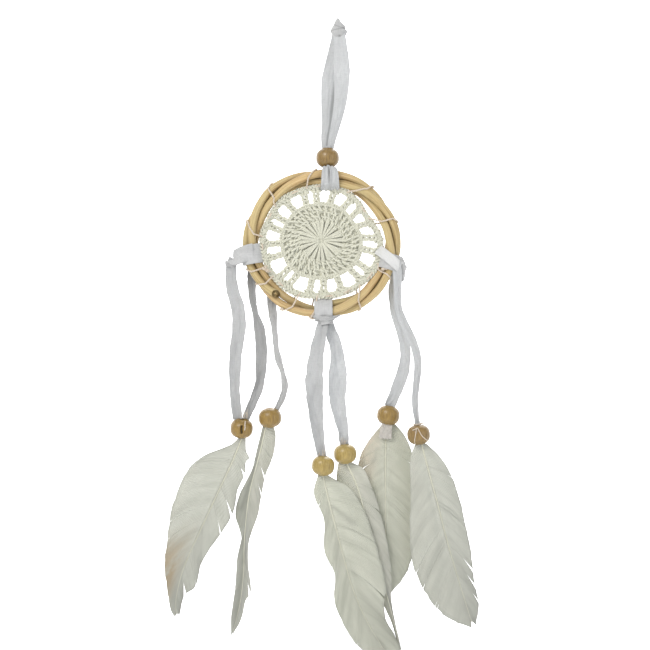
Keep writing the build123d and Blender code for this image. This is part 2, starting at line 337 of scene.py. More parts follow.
def cane_material(name, warm):
    """Peeled cane: long grain, dry pale streaks, darker pores and a faint green cast."""
    n = Nodes(name)
    long_grain = n.noise(n.scaled(1.6, 1.6, 0.045), 1.0, 5.0, 0.62)
    patches = n.noise(n.scaled(0.25, 0.25, 0.035), 1.0, 2.0)
    pores = n.noise(n.scaled(5.0, 5.0, 0.35), 1.0, 4.0, 0.7)
    colour = n.ramp(long_grain, [(0.32, (0.27 * warm, 0.16, 0.06)), (0.44, (0.48 * warm, 0.335, 0.155)),
                                 (0.56, (0.57 * warm, 0.42, 0.20)), (0.72, (0.69 * warm, 0.55, 0.32))])
    colour = n.over(colour, (0.55, 0.46, 0.23), patches, (0.42, 0), (0.62, 0.55))
    colour = n.over(colour, (0.30, 0.19, 0.08), pores, (0.3, 0.6), (0.44, 0))
    height = n.sum(long_grain, 0.8, pores, 0.35)
    rough = n.math("ADD", n.math("MULTIPLY", pores, 0.25), 0.42)
    return n.finish(colour, rough, n.bump(height, 0.0003, 0.8), specular=0.35, dark=0.24)


def end_grain_material():
    """A cane's cut end: pith, rings of open pores and a darker rim."""
    n = Nodes("cane_end_grain")
    where = n.scaled(4.5, 4.5, 0.0)
    spots = n.add("ShaderNodeTexVoronoi", {"Vector": where, "Scale": 1.0}).outputs["Distance"]
    colour = n.ramp(spots, [(0.1, (0.20, 0.12, 0.04)), (0.35, (0.46, 0.32, 0.13)),
                            (0.7, (0.60, 0.45, 0.22))])
    return n.finish(colour, 0.8, n.bump(spots, 0.0002), specular=0.2)


def yarn_material(name, light, shade, sheen=0.25, fibre=2.4):
    """Spun cotton: fibres that wind round each ply, fuzz and small slubs."""
    n = Nodes(name)
    fibres = n.noise(n.scaled(9.0, 9.0, fibre), 1.0, 4.0, 0.75)
    slubs = n.noise(n.scaled(0.4, 0.4, 0.16), 1.0, 3.0)
    colour = n.ramp(fibres, [(0.25, shade), (0.55, light), (0.8, times(light, 1.08))])
    colour = n.over(colour, shade, slubs, (0.35, 0.35), (0.6, 0))
    return n.finish(colour, 0.85, n.bump(fibres, 0.00018, 0.9), sheen=sheen, specular=0.2, through=0.08,
                    dark=0.38)


def ribbon_material(name, light, shade):
    """Woven ribbon: fine warp and weft, soft creases in painted shade and slubs along it."""
    n = Nodes(name)
    parts = n.add("ShaderNodeSeparateXYZ", {0: n.flow})
    across, along = parts.outputs[0], parts.outputs[1]
    warp = n.math("SINE", n.math("MULTIPLY", across, TAU / 0.34))
    weft = n.math("SINE", n.math("MULTIPLY", along, TAU / 0.30))
    weave = n.math("MULTIPLY", warp, weft)
    slub = n.noise(n.scaled(2.6, 0.22, 1.0), 1.0, 4.0, 0.6)
    weft_slub = n.noise(n.scaled(0.25, 2.4, 1.0), 1.0, 3.0, 0.6)
    crease_shade_streaks = n.noise(n.scaled(0.22, 0.06, 1.0), 1.0, 2.0)
    colour = n.ramp(n.sum(slub, 0.6, weft_slub, 0.4),
                    [(0.3, shade), (0.52, light), (0.75, times(light, 1.06))])
    # painted shade: long soft darker streaks where the ribbon creases
    colour = n.over(colour, shade, crease_shade_streaks, (0.36, 0.4), (0.62, 0))
    colour = n.over(colour, (0.30, 0.31, 0.33), weave, (0.0, 0.16), (0.4, 0))
    height = n.sum(weave, 0.35, slub, 0.9)
    return n.finish(colour, 0.62, n.bump(height, 0.00016, 0.8), sheen=0.3, specular=0.3, through=0.16)


STAIN_REACH = 0.22                   # as a share of the feather's length


def feather_material(name, light, shade, tint, tint_from):
    """A feather's vane: fine barbs that catch light, soft mottling and a stained part near the tip."""
    n = Nodes(name)
    parts = n.add("ShaderNodeSeparateXYZ", {0: n.flow})
    out, barb, down = parts.outputs[0], parts.outputs[1], parts.outputs[2]
    lines = n.math("SINE", n.math("MULTIPLY", barb, TAU))
    clumps = n.noise(n.scaled(0.5, 0.14, 0.0), 1.0, 4.0, 0.6)
    mottle = n.noise(n.scaled(1.3, 0.035, 5.0), 1.0, 3.0, 0.6)
    deep = times(shade, 0.72)
    colour = n.ramp(clumps, [(0.3, shade), (0.52, light), (0.74, times(light, 1.06))])
    colour = n.over(colour, shade, mottle, (0.35, 0.45), (0.6, 0))
    colour = n.over(colour, deep, lines, (0.0, 0.09), (0.5, 0))
    # the stain lies on the left side, over STAIN_REACH either way from its middle
    middle = tint_from + STAIN_REACH
    where = n.math("SUBTRACT", STAIN_REACH, n.math("ABSOLUTE", n.math("SUBTRACT", down, middle)))
    where = n.math("MULTIPLY", where, n.math("MAXIMUM", n.math("MULTIPLY", out, -1.0), 0.0))
    streaks = n.noise(n.scaled(1.6, 0.10, 2.0), 1.0, 4.0, 0.7)
    where = n.math("MULTIPLY", where, n.ramp(streaks, [(0.36, (0.25,) * 3), (0.62, (1,) * 3)]))
    colour = n.over(colour, tint, where, (0.0, 0), (0.14, 0.85))
    colour = n.over(colour, deep, down, (0.35, 0), (1.0, 0.34))
    colour = n.over(colour, (0.88, 0.87, 0.78), n.math("ABSOLUTE", out), (0.0, 0.25), (0.12, 0))
    return n.finish(colour, 0.55, n.bump(n.math("ADD", lines, clumps), 0.00011, 0.8),
                    sheen=0.2, specular=0.3, through=0.2)


def quill_material():
    """Rachis and quill: horn, pale and slightly glossy."""
    n = Nodes("quill_horn")
    grain = n.noise(n.scaled(3.0, 3.0, 0.15), 1.0, 3.0)
    colour = n.ramp(grain, [(0.3, (0.62, 0.61, 0.48)), (0.6, (0.74, 0.735, 0.61)),
                            (0.8, (0.82, 0.81, 0.71))])
    return n.finish(colour, 0.35, n.bump(grain, 0.0001), through=0.12)


def bead_material(name, light, dark):
    """Varnished turned wood: grain runs through the bead along its bore, with rays and turning marks."""
    n = Nodes(name)
    grain = n.noise(n.scaled(1.3, 1.3, 0.22), 1.0, 5.0, 0.6)
    fine = n.noise(n.scaled(7.0, 7.0, 0.6), 1.0, 4.0, 0.7)
    wave = {"Vector": n.scaled(1.0, 0.55, 0.07), "Scale": 0.55, "Distortion": 5.0, "Detail": 3.0,
            "Detail Scale": 1.5}
    rings = n.add("ShaderNodeTexWave", wave, wave_type="BANDS").outputs["Fac"]
    colour = n.ramp(n.sum(grain, 0.65, rings, 0.35),
                    [(0.25, dark), (0.55, light), (0.85, times(light, 1.16))])
    colour = n.over(colour, times(dark, 0.7), fine, (0.34, 0.5), (0.48, 0))
    along = n.add("ShaderNodeSeparateXYZ", {0: n.flow}).outputs[2]
    turning = n.math("SINE", n.math("MULTIPLY", along, 14.0))
    height = n.math("ADD", fine, n.math("MULTIPLY", turning, 0.12))
    rough = n.math("ADD", n.math("MULTIPLY", fine, 0.2), 0.28)
    return n.finish(colour, rough, n.bump(height, 0.00012, 0.7), coat=0.4, dark=0.9)


CANES = [cane_material(f"cane_{k}", w) for k, w in (("a", 1.0), ("b", 0.96), ("c", 1.04))]
CANE_END = end_grain_material()
CROCHET = yarn_material("crochet_cotton", (0.82, 0.81, 0.685), (0.61, 0.61, 0.495))
THREAD = yarn_material("waxed_thread", (0.86, 0.76, 0.63), (0.66, 0.54, 0.42), sheen=0.05, fibre=3.5)
# light and shade
RIBBON, RIBBON_GREY, RIBBON_HIGHLIGHT, RIBBON_LIGHT, RIBBON_WARM, TAB_CLOTH = (
    ribbon_material(f"ribbon_weave{kind}", light, shade) for kind, light, shade in (
        ("", (0.74, 0.75, 0.75), (0.57, 0.58, 0.58)),
        ("_grey", (0.645, 0.65, 0.645), (0.51, 0.515, 0.51)),
        # the white copy is a painted highlight, for a bright band over the right hitch
        ("_white", (0.95, 0.95, 0.93), (0.86, 0.86, 0.84)),
        ("_light", (0.71, 0.71, 0.70), (0.56, 0.56, 0.55)),
        ("_warm", (0.69, 0.69, 0.68), (0.52, 0.52, 0.51)),
        ("_tab", (0.74, 0.70, 0.64), (0.60, 0.56, 0.50))))
QUILL = quill_material()


# ---------------------------------------------------------------- ring canes
def cane_line(start, end, phase, count):
    degrees = np.linspace(start, end, count)
    wind = np.radians(TWISTS * degrees + phase)
    kink = 0.25 * wobble(degrees, 52, int(abs(phase)) + 3)
    return ring_point(degrees, TWIST_R * np.cos(wind) + kink, -TWIST_R * np.sin(wind))


def cane(name, material, start, end, phase, cut_end=False):
    """One cane with its knuckles. cut_end: its far end is cut at a slant and shows its end grain."""
    count, sides = 460, 26
    line = cane_line(start, end, phase, count)
    tangent, side, other = transport(line, (0, 1, 0))
    a = np.linspace(0, TAU, sides, endpoint=False)
    at = np.linspace(0, 240, count)
    facets = 0.07 * np.cos(5 * a + phase)[None] + 0.04 * np.cos(9 * a)[None] * wobble(at, 30, 5)[:, None]
    ridges = np.stack([wobble(at, 46, 100 + k) for k in range(sides)], 1) * 0.035
    joint = sum(np.exp(-((at - p) / 1.6) ** 2) for p in (38 + phase * 0.1, 104 + phase * 0.05, 171))
    radius = CANE_R + 0.07 * wobble(at, 80, 11)[:, None] + facets + ridges + 0.14 * joint[:, None]
    points = line[:, None] + radius[..., None] * (
        side[:, None] * np.cos(a)[None, :, None] + other[:, None] * np.sin(a)[None, :, None])
    if cut_end:
        # a slanting cut: the front is cut back further than the rear
        middle_end = line[-1] - 2.3 * tangent[-1]
        along = (points - middle_end) @ tangent[-1]
        over = np.maximum(0, along - 1.05 * (points[..., 1] - middle_end[1]))
        over[: count - 30] = 0
        points = points - over[..., None] * tangent[-1]
    flow = np.stack([2.2 * np.cos(a)[None] + 0 * radius + phase, 2.2 * np.sin(a)[None] + 0 * radius,
                     np.broadcast_to(at[:, None], radius.shape)], -1)
    middle = ring_point(np.linspace(start, end, count))
    inside = np.linalg.norm(points - middle[:, None], axis=-1)
    skin = Skin()
    # painted shade: darker on the sides that face the other canes, in the crevices between them
    skin.grid(points, flow, shade=np.clip((3.7 - inside) / 2.0, 0, 1) ** 1.3)
    skin.build(f"{name}_wood", material, "ring", [name])
    if cut_end:
        disc = Skin()
        face = points[-1]
        grooves = ((0.05, 0.12), (0.35, 0.0), (0.7, 0.1), (0.92, 0.0), (0.985, -0.05))
        rings = np.array([middle_end + share * (face - middle_end) + (0, lift, 0)
                          for share, lift in grooves])
        local = rings - middle_end
        local = np.stack([local @ side[-1], local @ other[-1], np.zeros(rings.shape[:2])], -1)
        disc.grid(rings - 0.05 * tangent[-1] + (0, -0.06, 0), local)
        disc.build("cane_cut_end", CANE_END, "ring")


cane("ring_cane_a", CANES[0], -174.5, 181.5, 112)
cane("ring_cane_b", CANES[1], -91, 233, -8, cut_end=True)
cane("ring_cane_c", CANES[2], -83, 273, 232)

# ---------------------------------------------------------------- crochet web
WEB_X, WEB_Z = -9.7, -111.2
WEB_TALL = 0.925                     # its height as a share of its width
SPOKES = 20
web_rng = np.random.default_rng(21)


def web_place(r, degrees, y):
    """A place on the web, from its radius, angle and depth, with the unevenness of hand work."""
    r, degrees, y = np.broadcast_arrays(*(np.asarray(v, float) for v in (r, degrees, y)))
    a = np.radians(degrees)
    pull = 0.45 * np.sin(2 * a + 0.7) + 0.28 * np.sin(5 * a + 1.9) + 0.16 * np.sin(9 * a)
    pull = pull + 0.61 - 0.26 * np.cos(2 * a) - 0.675 * np.sin(a) + 0.45 * np.cos(a)
    for towards, wide, reach in ((28, 27, -3.9), (316, 20, 1.4), (243, 20, 1.1), (178, 14, 0.8)):
        pull = pull + reach * np.exp(-(((degrees - towards + 180) % 360 - 180) / wide) ** 2)
    r = r * (1 + 0.012 * np.sin(3 * a + 2)) + pull * (r / 34) ** 2
    front = -1.5 * np.clip((r - 26) / 8, 0, 1) ** 1.5 * (0.75 - 0.25 * np.cos(a - 0.6))
    return np.stack([WEB_X + r * np.cos(a), y + front - 0.3, WEB_Z + r * np.sin(a) * WEB_TALL], -1)


def plait(skin, radius, crossings, wide, deep, yarn_r, depth=0.0, seed=0):
    """A chain of stitches round the web: three strands that cross over one another."""
    count = crossings * 8
    turn = np.linspace(0, 1, count + 1)
    for k in range(3):
        phase = TAU * (crossings * turn / 1.5 + k / 3)
        uneven = 1 + 0.22 * np.sin(TAU * turn * 7 + seed) + 0.14 * np.sin(TAU * turn * 17 + seed)
        r = radius + wide * uneven * np.sin(phase)
        y = depth + deep * np.sin(2 * phase)
        skin.yarn(web_place(r, 360 * turn + seed * 11, y), yarn_r, seed=seed + k)


def post(skin, r0, r1, degrees, lean, yarn_r, wraps, spread, seed, swell=0.0):
    """A tall crochet stitch: two strands wound together, with the yarn thrown round them."""
    t = np.linspace(0, 1, 9)
    for k in (0, 1):
        wind = TAU * wraps * t + k * math.pi
        arc = np.degrees(spread * np.cos(wind) / np.maximum(r0 + (r1 - r0) * t, 1))
        skin.yarn(web_place(r0 + (r1 - r0) * t, degrees + lean * t + arc, spread * 0.8 * np.sin(wind)),
                  yarn_r, taper=(1 + swell, 1, 1, 1 + swell), seed=seed + k)


def throw(skin, r, degrees, wide, slant, yarn_r, seed, deep=0.8):
    """One turn of yarn round a stitch."""
    t = np.linspace(0, 1, 9)
    arc = np.degrees(wide * np.cos(TAU * t) / r)
    place = web_place(r + slant * np.sin(TAU * t + 0.9), degrees + arc, deep * np.sin(TAU * t))
    skin.yarn(place, yarn_r, seed=seed)


web = Skin()
# the back of the work: plain chains that fill the gaps
for k in range(9):
    plait(web, 2.9 + 2.3 * k, 6 + 5 * k, 0.85, 0.35, 0.66, 1.0, 11 + k)
# the first round: a drawn ring, then tall stitches out of it
for k, r in enumerate((1.15, 1.9)):
    turn = np.linspace(0, 1, 25)
    depth = 0.2 + 0.35 * np.sin(8 * TAU * turn)
    web.yarn(web_place(r + 0.12 * np.sin(9 * TAU * turn), 360 * turn, depth), 0.42, seed=k)
web.yarn(web_place(0.5, 720 * turn, 0.55), 0.5, seed=3)
PETALS = 25
for i in range(PETALS):
    middle = 360 * (i + 0.18 * web_rng.uniform(-1, 1)) / PETALS
    top = 12.3 + web_rng.uniform(-0.6, 0.6)
    swell = 4.6 + web_rng.uniform(-0.4, 0.4)
    high = web_rng.uniform(-0.25, 0.15)
    # radius, share of the petal's swell and depth: out along its left side and back along its right
    loop = [(1.5, 0, 0.1), (4, -0.26, -0.5), (7, -0.4, -0.85), (10.2, -0.46, -0.75), (top, -0.3, -0.2),
            (top + 0.55, 0, 0.35), (top, 0.32, -0.1), (10.2, 0.42, -0.7), (7, 0.36, -0.75),
            (4, 0.24, -0.4), (1.5, 0.1, 0.2)]
    r, share, y = np.array(loop).T
    web.yarn(web_place(r, middle + share * swell * (1 + 3.2 / (r + 1)), y + high), 0.66, pitch=3.2,
             taper=(0.5, 0.8, 1.0, 1.0, 1.0, 1.0, 1.0, 0.8, 0.5), seed=i)
    throw(web, top - 0.4 + web_rng.uniform(-0.5, 0.5), middle, 1.2, 0.6, 0.5, i + 40)
# the second and third rounds: knotty stitches between chains
KNOTS = 34
for i in range(KNOTS):
    middle = 360 * (i + 0.2 * web_rng.uniform(-1, 1)) / KNOTS
    post(web, 12.4, 17.8, middle, web_rng.uniform(-3, 3), 0.66, 0.5, 0.72, i, 0.1)
    throw(web, 14.6 + web_rng.uniform(-0.8, 0.8), middle + 1, 1.15, 0.7, 0.5, i + 11, 0.95)
KNOTS_OUT = 40
for i in range(KNOTS_OUT):
    middle = 360 * (i + 0.2 * web_rng.uniform(-1, 1)) / KNOTS_OUT
    post(web, 16.8, 22.0, middle, web_rng.uniform(-3, 3), 0.66, 0.5, 0.76, i + 23, 0.1)
    throw(web, 19.2 + web_rng.uniform(-1.0, 1.0), middle, 1.25, 0.8, 0.52, i + 37, 1.0)
plait(web, 22.0, 46, 0.85, 0.65, 0.6, -0.1, 3)
# the open round: fat double stitches with holes between them, knotted at both ends
SPOKE_AT = [360 * (i + 0.26) / SPOKES + web_rng.uniform(-2.0, 2.0) for i in range(SPOKES)]
for i, middle in enumerate(SPOKE_AT):
    lean = web_rng.uniform(-3.0, 3.0)
    half = web_rng.uniform(0.78, 0.98)
    for k, side in enumerate((-1, 1)):
        spread = np.degrees(half / 24) * side
        post(web, 21.6, 31.2, middle + spread * 1.25, lean - spread * 0.3, 0.62, 1.5 + 0.2 * k, 0.46,
             i * 5 + k, 0.25)
    for k in range(3):
        throw(web, 23.4 + 3.0 * k + web_rng.uniform(-0.5, 0.5), middle + lean * (0.22 + 0.28 * k),
              1.55 + web_rng.uniform(-0.1, 0.15), 0.9, 0.52, i * 3 + k, 0.95)
    for k in (-1, 1):
        throw(web, 30.4, middle + lean + 3.2 * k, 1.1, 0.9, 0.55, i * 7 + k, 0.9)
# the last round: a fat chain with a looser one over it
plait(web, 32.0, 42, 1.0, 0.75, 0.68, 0.1, 4)
plait(web, 32.9, 50, 0.95, 0.7, 0.6, -0.35, 5)
RIM_THROWS = 38
for i in range(RIM_THROWS):
    throw(web, 32.5 + web_rng.uniform(-0.4, 0.4), 360 * i / RIM_THROWS + web_rng.uniform(-2, 2), 1.0, 1.45,
          0.55, i + 60, 1.0)
# painted shade: the web grows darker towards its back
web.build("crochet_yarn", CROCHET, "ring", ["crochet_web"],
          shade=lambda p: np.clip(p[:, 1] / 1.7, 0, 0.6))

# ---------------------------------------------------------------- lacing thread
# where each wrap crosses the ring's outer edge and where it meets the web, degrees
WRAPS = [(17, 25.6), (49.5, 62.5), (93.5, 104), (127.3, 140.7), (160.8, 175.5), (199.5, 207), (213, 219),
         (240.6, 249), (261.5, 266), (297.2, 307.8), (331.5, 335)]
LACE_R = 0.52
LACE_SEAT = 2.2                      # where its underside lies, from a cane's middle


def around(degrees, wind):
    """The place of a tight thread round the canes. wind: 0 outside, 90 in front, 180 inside, 270 behind."""
    toward = np.array([math.cos(math.radians(wind)), -math.sin(math.radians(wind))])
    best = None
    for phase, start, end in ((112, -180, 180), (-8, -91, 229), (232, -83, 273)):
        turned_by = degrees if degrees < end else degrees - 360
        if turned_by < start:
            continue
        spin = math.radians(TWISTS * turned_by + phase)
        middle = TWIST_R * np.array([math.cos(spin), -math.sin(spin)])
        if best is None or middle @ toward > best @ toward:
            best = middle
    out, y = best + toward * (LACE_SEAT + LACE_R)
    return ring_point(degrees, out, y)


def lacing_points():
    points = []
    for n, (outer, inner) in enumerate(WRAPS):
        points.append(web_place(32.3, inner - 4, 0.9))
        for wind in range(200, 361, 20):
            points.append(around(inner - 4 + (outer - inner + 4) * (wind - 200) / 160, wind))
        for wind in range(20, 121, 20):
            points.append(around(outer + (inner - outer) * wind / 170, wind))
        for r, on, y in ((33.6, 0, -1.7), (31.8, 1.5, 0.2), (32.6, 3, 1.3)):
            points.append(web_place(r, inner + on, y))
        if n + 1 < len(WRAPS):
            ahead = WRAPS[n + 1][1] - 7 - inner
            steps = max(1, round(ahead / 9))
            for k in range(1, steps):
                points.append(web_place(32.8, inner + 3 + ahead * k / steps, -1.5 if k % 2 else 1.3))
    return np.array(points)


lacing = Skin()
lacing.yarn(lacing_points(), LACE_R, pitch=1.9, plies=2, density=2.8)
# the knots where the thread was tied off, with short ends
for degrees, out, y, size in ((205, -4.3, -4.9, 1.25), (208, -5.0, -4.6, 1.0), (240, 5.4, -1.4, 0.9),
                              (263, 5.0, -2.0, 0.9), (336, -2.2, -5.2, 0.8)):
    centre = ring_point(degrees, out, y)
    t = np.linspace(0, 1, 22)[:, None]
    for k in range(2):
        ball = size * np.hstack([0.8 * np.sin(TAU * 2 * t + k), 0.7 * np.cos(TAU * 2 * t) * np.cos(TAU * t),
                                 0.8 * np.cos(TAU * 2 * t + 2 * k) * np.sin(TAU * t + 0.6)])
        lacing.yarn(centre + ball, 0.46, pitch=1.7, plies=2, density=3.0, seed=k)
    end = np.array([(0, 0, 0), (0.7, -0.4, -0.7), (1.6, -0.5, -0.9), (2.4, -0.3, -1.6)])
    lacing.yarn(centre + end * (1, 1, 1 - degrees / 400), 0.38, pitch=1.7, plies=2, density=3.0)
lacing.build("lacing_thread_plies", THREAD, "ring", ["lacing_thread"])


# ---------------------------------------------------------------- ribbons
RIBBON_THICK = 0.55


def mirrored(front):
    """A sheet's values for its front and, in turn, for its back."""
    return np.concatenate([front, front[:, ::-1]], axis=1)


def strip(skin, line, across, wide, profile, columns=14, seed=0.0, shade=None):
    """A ribbon as a thin closed band. across: the direction of its width, everywhere or at each point.
    profile(u, s) lifts it off flat: u runs from -1 to 1 over its width, s from 0 to 1 along it.
    shade(u, s) is how dark it is: its painted shade."""
    count = len(line)
    tangent = unit(np.gradient(line, axis=0))
    across = unit(across - tangent * np.sum(across * tangent, axis=1, keepdims=True))
    normal = np.cross(tangent, across)
    u = np.linspace(-1, 1, columns)
    s = np.linspace(0, 1, count)
    wide = np.broadcast_to(np.asarray(wide, float), (count,))
    lift = profile(u[None, :], s[:, None])[..., None]
    middle = line[:, None] + across[:, None] * (u[None, :, None] * wide[:, None, None] / 2)
    middle = middle + normal[:, None] * lift
    edge = np.clip(1 - np.abs(u), 0, 0.12) / 0.12 * 0.5 + 0.5
    shell = normal[:, None] * (RIBBON_THICK / 2 * edge)[None, :, None]
    points = np.concatenate([middle + shell, (middle - shell)[:, ::-1]], axis=1)
    at = np.concatenate([[0], np.cumsum(np.linalg.norm(np.diff(line, axis=0), axis=1))])
    whole = np.zeros((count, columns))
    cloth = np.stack([whole + u * 4.2, whole + at[:, None], whole + seed], -1)
    dark = whole if shade is None else shade(u[None, :], s[:, None]) + whole
    skin.grid(points, mirrored(cloth), shade=mirrored(dark))


def fray(skin, place, seed):
    """Loose yarns that stand out of a bead's mouth, from a ribbon's cut end."""
    r = np.random.default_rng(seed)
    direction, across = np.array([0.1, -0.1, 1.0]), np.array([1.0, 0, 0])
    for _ in range(9):
        foot = place + across * r.uniform(-0.5, 0.5) * 4.2
        bend = r.uniform(-0.4, 0.4, 3)
        reach = 4.2 * r.uniform(0.4, 1.0)
        line = np.array([foot - direction * 0.6, foot + direction * reach * 0.5 + bend * 0.3,
                         foot + direction * reach + bend * reach * 0.5])
        skin.yarn(line, 0.13, pitch=1.2, plies=2, density=5.0, seed=float(r.uniform(0, 6)))


def turned(line, degrees):
    """Width directions that start across the view and turn about the line."""
    tangent = unit(np.gradient(line, axis=0))
    flat = unit(np.cross(tangent, np.array([0.0, 1.0, 0.0])))
    deep = np.cross(tangent, flat)
    a = np.radians(degrees)[:, None]
    return flat * np.cos(a) + deep * np.sin(a)


def hanging_ribbon(node, seed, route, wide, twist, curl, material,
                   shade=None):
    """A ribbon tail from its hitch to its bead. route: its cord route in millimetres."""
    points = [(x * MM, y * MM, z * MM) for x, y, z in route]
    path = nurbs(points, 190)
    line = path / MM
    t = np.linspace(0, 1, len(line))
    width = table(wide, t)
    turn = table(twist, t) + 6 * wobble(t, 0.31, seed)
    width = width * (1 + 0.05 * wobble(t, 0.13, seed + 9))
    bow = table(curl, t)[:, None]

    def profile(u, s):
        creases = 0.20 * np.sin(5.2 * u + 3 * wobble(s, 0.4, seed + 1))
        creases = creases + 0.2 * wobble(s + u * 0.05, 0.16, seed + 2)
        creases = creases - 0.5 * np.exp(-(((u - 0.15 - 0.3 * wobble(s, 0.7, seed + 4)) / 0.12) ** 2))
        return bow * (u**2 - 0.33) * width[:, None] / 2 + creases * (1 + 0 * u)

    skin = Skin()
    strip(skin, line, turned(line, turn), width, profile, 18, seed, shade)
    piece = skin.build(f"{node}_cloth", material, None, [node])
    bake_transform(piece)
    length = float(np.linalg.norm(np.diff(path, axis=0), axis=1).sum())


# ---------------------------------------------------------------- beads
SQUARE = 2.35                        # 2 is a plain ball, more is squarer
HALF_TALL = 5.95                     # half of a bead's height
CRACK_HALF = 9                       # degrees to either side of a crack that get extra points


def bead(node, body, wood, tilt=(0.0, 0.0), slit=None, bore=1.6):
    """A turned bead: a barrel with eased bore edges, a little out of true. slit: where a crack shows, with
    painted shade in it.
    """
    name = f"{node}_wood"
    low, high = (np.array(c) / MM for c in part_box(node))
    centre = (low + high) / 2
    half_wide = 1.025 * (high - low)[0] / 2
    rows = 44
    a = np.linspace(0, TAU, 56, endpoint=False)
    if slit is not None:
        more = math.radians(slit) + np.radians(np.linspace(-CRACK_HALF, CRACK_HALF, 25))
        a = np.sort(np.concatenate([a, more]))
    sides = len(a)
    profile = []
    for p in np.linspace(0.07, math.pi - 0.07, rows):
        flank, end = math.sin(p), math.cos(p)
        scale = (abs(flank) ** SQUARE + abs(end) ** SQUARE) ** (-1 / SQUARE)
        scale = min(scale, 1.09)
        profile.append((max(half_wide * flank * scale, bore + 0.35), HALF_TALL * end * scale * 0.93))
    lip = HALF_TALL * 0.925
    profile = [(bore, lip - 1.4), (bore, lip - 0.7), (bore + 0.12, lip - 0.3)] + profile
    profile += [(bore + 0.12, -lip + 0.3), (bore, -lip + 0.7), (bore, -lip + 1.4), (bore, 0.0)]
    profile.append((bore, lip - 1.4))
    r, z = np.array(profile).T
    uneven = 1 + 0.008 * np.cos(2 * a + len(name)) + 0.005 * np.cos(3 * a)
    shade = np.zeros((len(r), sides))
    if slit is not None:
        off = np.degrees(a)[None] - slit + 1.1 * np.sin(1.1 * z)[:, None]
        dent = np.exp(-(off / 6.0) ** 4) * (np.abs(z - 0.6)[:, None] < 2.3) * (r > 4)[:, None]
        uneven = uneven[None] * (1 - 0.26 * dent)
        # painted shade in the crack
        shade = 0.8 * dent
    points = np.stack([r[:, None] * np.cos(a) * uneven, r[:, None] * np.sin(a) * uneven,
                       np.broadcast_to(z[:, None], (len(r), sides))], -1)
    tx, ty = np.radians(tilt)
    lean = np.array([[math.cos(ty), 0, math.sin(ty)], [0, 1, 0], [-math.sin(ty), 0, math.cos(ty)]])
    lean = lean @ [[1, 0, 0], [0, math.cos(tx), -math.sin(tx)], [0, math.sin(tx), math.cos(tx)]]
    skin = Skin()
    skin.grid(points[:-1] @ lean.T + centre, points[:-1] + len(name) * 9.0, caps=False, shade=shade[:-1])
    last = skin.count - sides
    index = np.arange(sides)
    join = np.stack([last + index, last + np.roll(index, -1), np.roll(index, -1), index], -1)
    skin.faces.extend(join.tolist())
    return skin.build(name, WOOD[wood], body, [node])


WOOD = {
    "golden": bead_material("bead_golden", (0.335, 0.212, 0.048), (0.13, 0.072, 0.014)),
    "pale": bead_material("bead_pale", (0.435, 0.318, 0.095), (0.22, 0.145, 0.035)),
    "brown": bead_material("bead_brown", (0.30, 0.19, 0.055), (0.11, 0.058, 0.014)),
}
BODIES = {"outer_left": "left_pendant", "inner_left": "rear_pendant",
          "bottom_front": "bottom_front_pendant",
          "bottom_back": "bottom_back_strand", "inner_right": "right_back_strand",
          "outer_right": "right_front_pendant"}
TURNED = {"outer_left": ("golden", (12, 3), 273), "inner_left": ("golden", (0, -5)),
          "bottom_front": ("pale", (3, 7)), "bottom_back": ("pale", (0, -4)),
          "inner_right": ("golden", (0, 8)), "outer_right": ("brown", (4, -6))}
# what hangs at each ribbon's end: the bead first, then its feather
PENDANTS = {place: [bead(f"{place}_bead", BODIES[place], *spec)] for place, spec in TURNED.items()}
bead("top_bead", "top_bead", "brown", bore=2.6)


# ---------------------------------------------------------------- feathers
def vane_side(skin, quill, edge, side, curl, seed, splits, lead):
    """One side of a feather: barbs from the rachis to the edge, parted at (place, depth, width) splits."""
    r = np.random.default_rng(seed)
    rows = 230
    u = np.linspace(0, 1, 12)
    own = np.arange(rows)
    root = np.linspace(0.0, 0.994, rows)
    tip = np.clip(root + lead * np.sin(math.pi * root) ** 0.6, 0, 1)
    ragged = 1 + 0.004 * wobble(own, 3.1, seed) + 0.013 * wobble(own, 23, seed + 1)
    spans = (0.15, 0.97), (0.05, 0.15), (0.0004, 0.0018)
    small = [[r.uniform(*span) for span in spans] for _ in range(4)]
    places = np.linspace(0, 1, len(quill))

    def at(line, t):
        return np.stack([np.interp(t, places, line[:, k]) for k in range(3)], 1)

    base = at(quill, root)

    def barbs(t):
        goal = base + (at(edge, t) - base) * ragged[:, None]
        span = goal - base
        bend = base + 0.5 * span + np.array([0, 0, 0.13]) * np.linalg.norm(span, axis=1, keepdims=True)
        k = u[None, :, None]
        return (1 - k) ** 2 * base[:, None] + 2 * k * (1 - k) * bend[:, None] + k**2 * goal[:, None]

    plain = barbs(tip)
    reach = np.linalg.norm(at(edge, tip) - base, axis=1)[:, None]
    plain[..., 1] += curl(root[:, None], u[None, :]) * reach
    plain[..., 1] += 0.03 * np.where(own % 2, 1, -1)[:, None] * u[None, :] ** 0.5
    parted = np.zeros_like(plain)
    cuts = [0]
    for place, deep, wide in list(splits) + small:
        off = tip - place
        moved = barbs(np.clip(tip + wide * np.sign(off) * np.exp(-np.abs(off) / 0.03), 0, 1)) - barbs(tip)
        parted += moved * np.clip((u - (1 - deep)) / deep, 0, 1)[None, :, None] ** 1.2
        cuts.append(int(np.searchsorted(tip, place)))
    cuts = sorted(set(c for c in cuts if c < rows - 4)) + [rows]
    for start, stop in zip(cuts, cuts[1:]):
        if stop < rows:
            stop += 1
        part = plain[start:stop] + parted[start:stop]
        if stop < rows:
            part[-1] = plain[stop - 1] + parted[stop - 2]
        part[..., 1] += 0.05 * r.uniform(-1, 1) * u**2
        front, back = part.copy(), part.copy()
        front[..., 1] -= 0.055
        back[..., 1] += 0.055
        points = np.concatenate([front, back[:, ::-1]], axis=1)
        whole = np.zeros((stop - start, len(u)))
        flow = mirrored(np.stack([whole + u * side, whole + own[start:stop, None] * 0.5,
                                  whole + root[start:stop, None]], -1))
        if side < 0:
            points, flow = points[:, ::-1], flow[:, ::-1]
        skin.grid(points, flow)


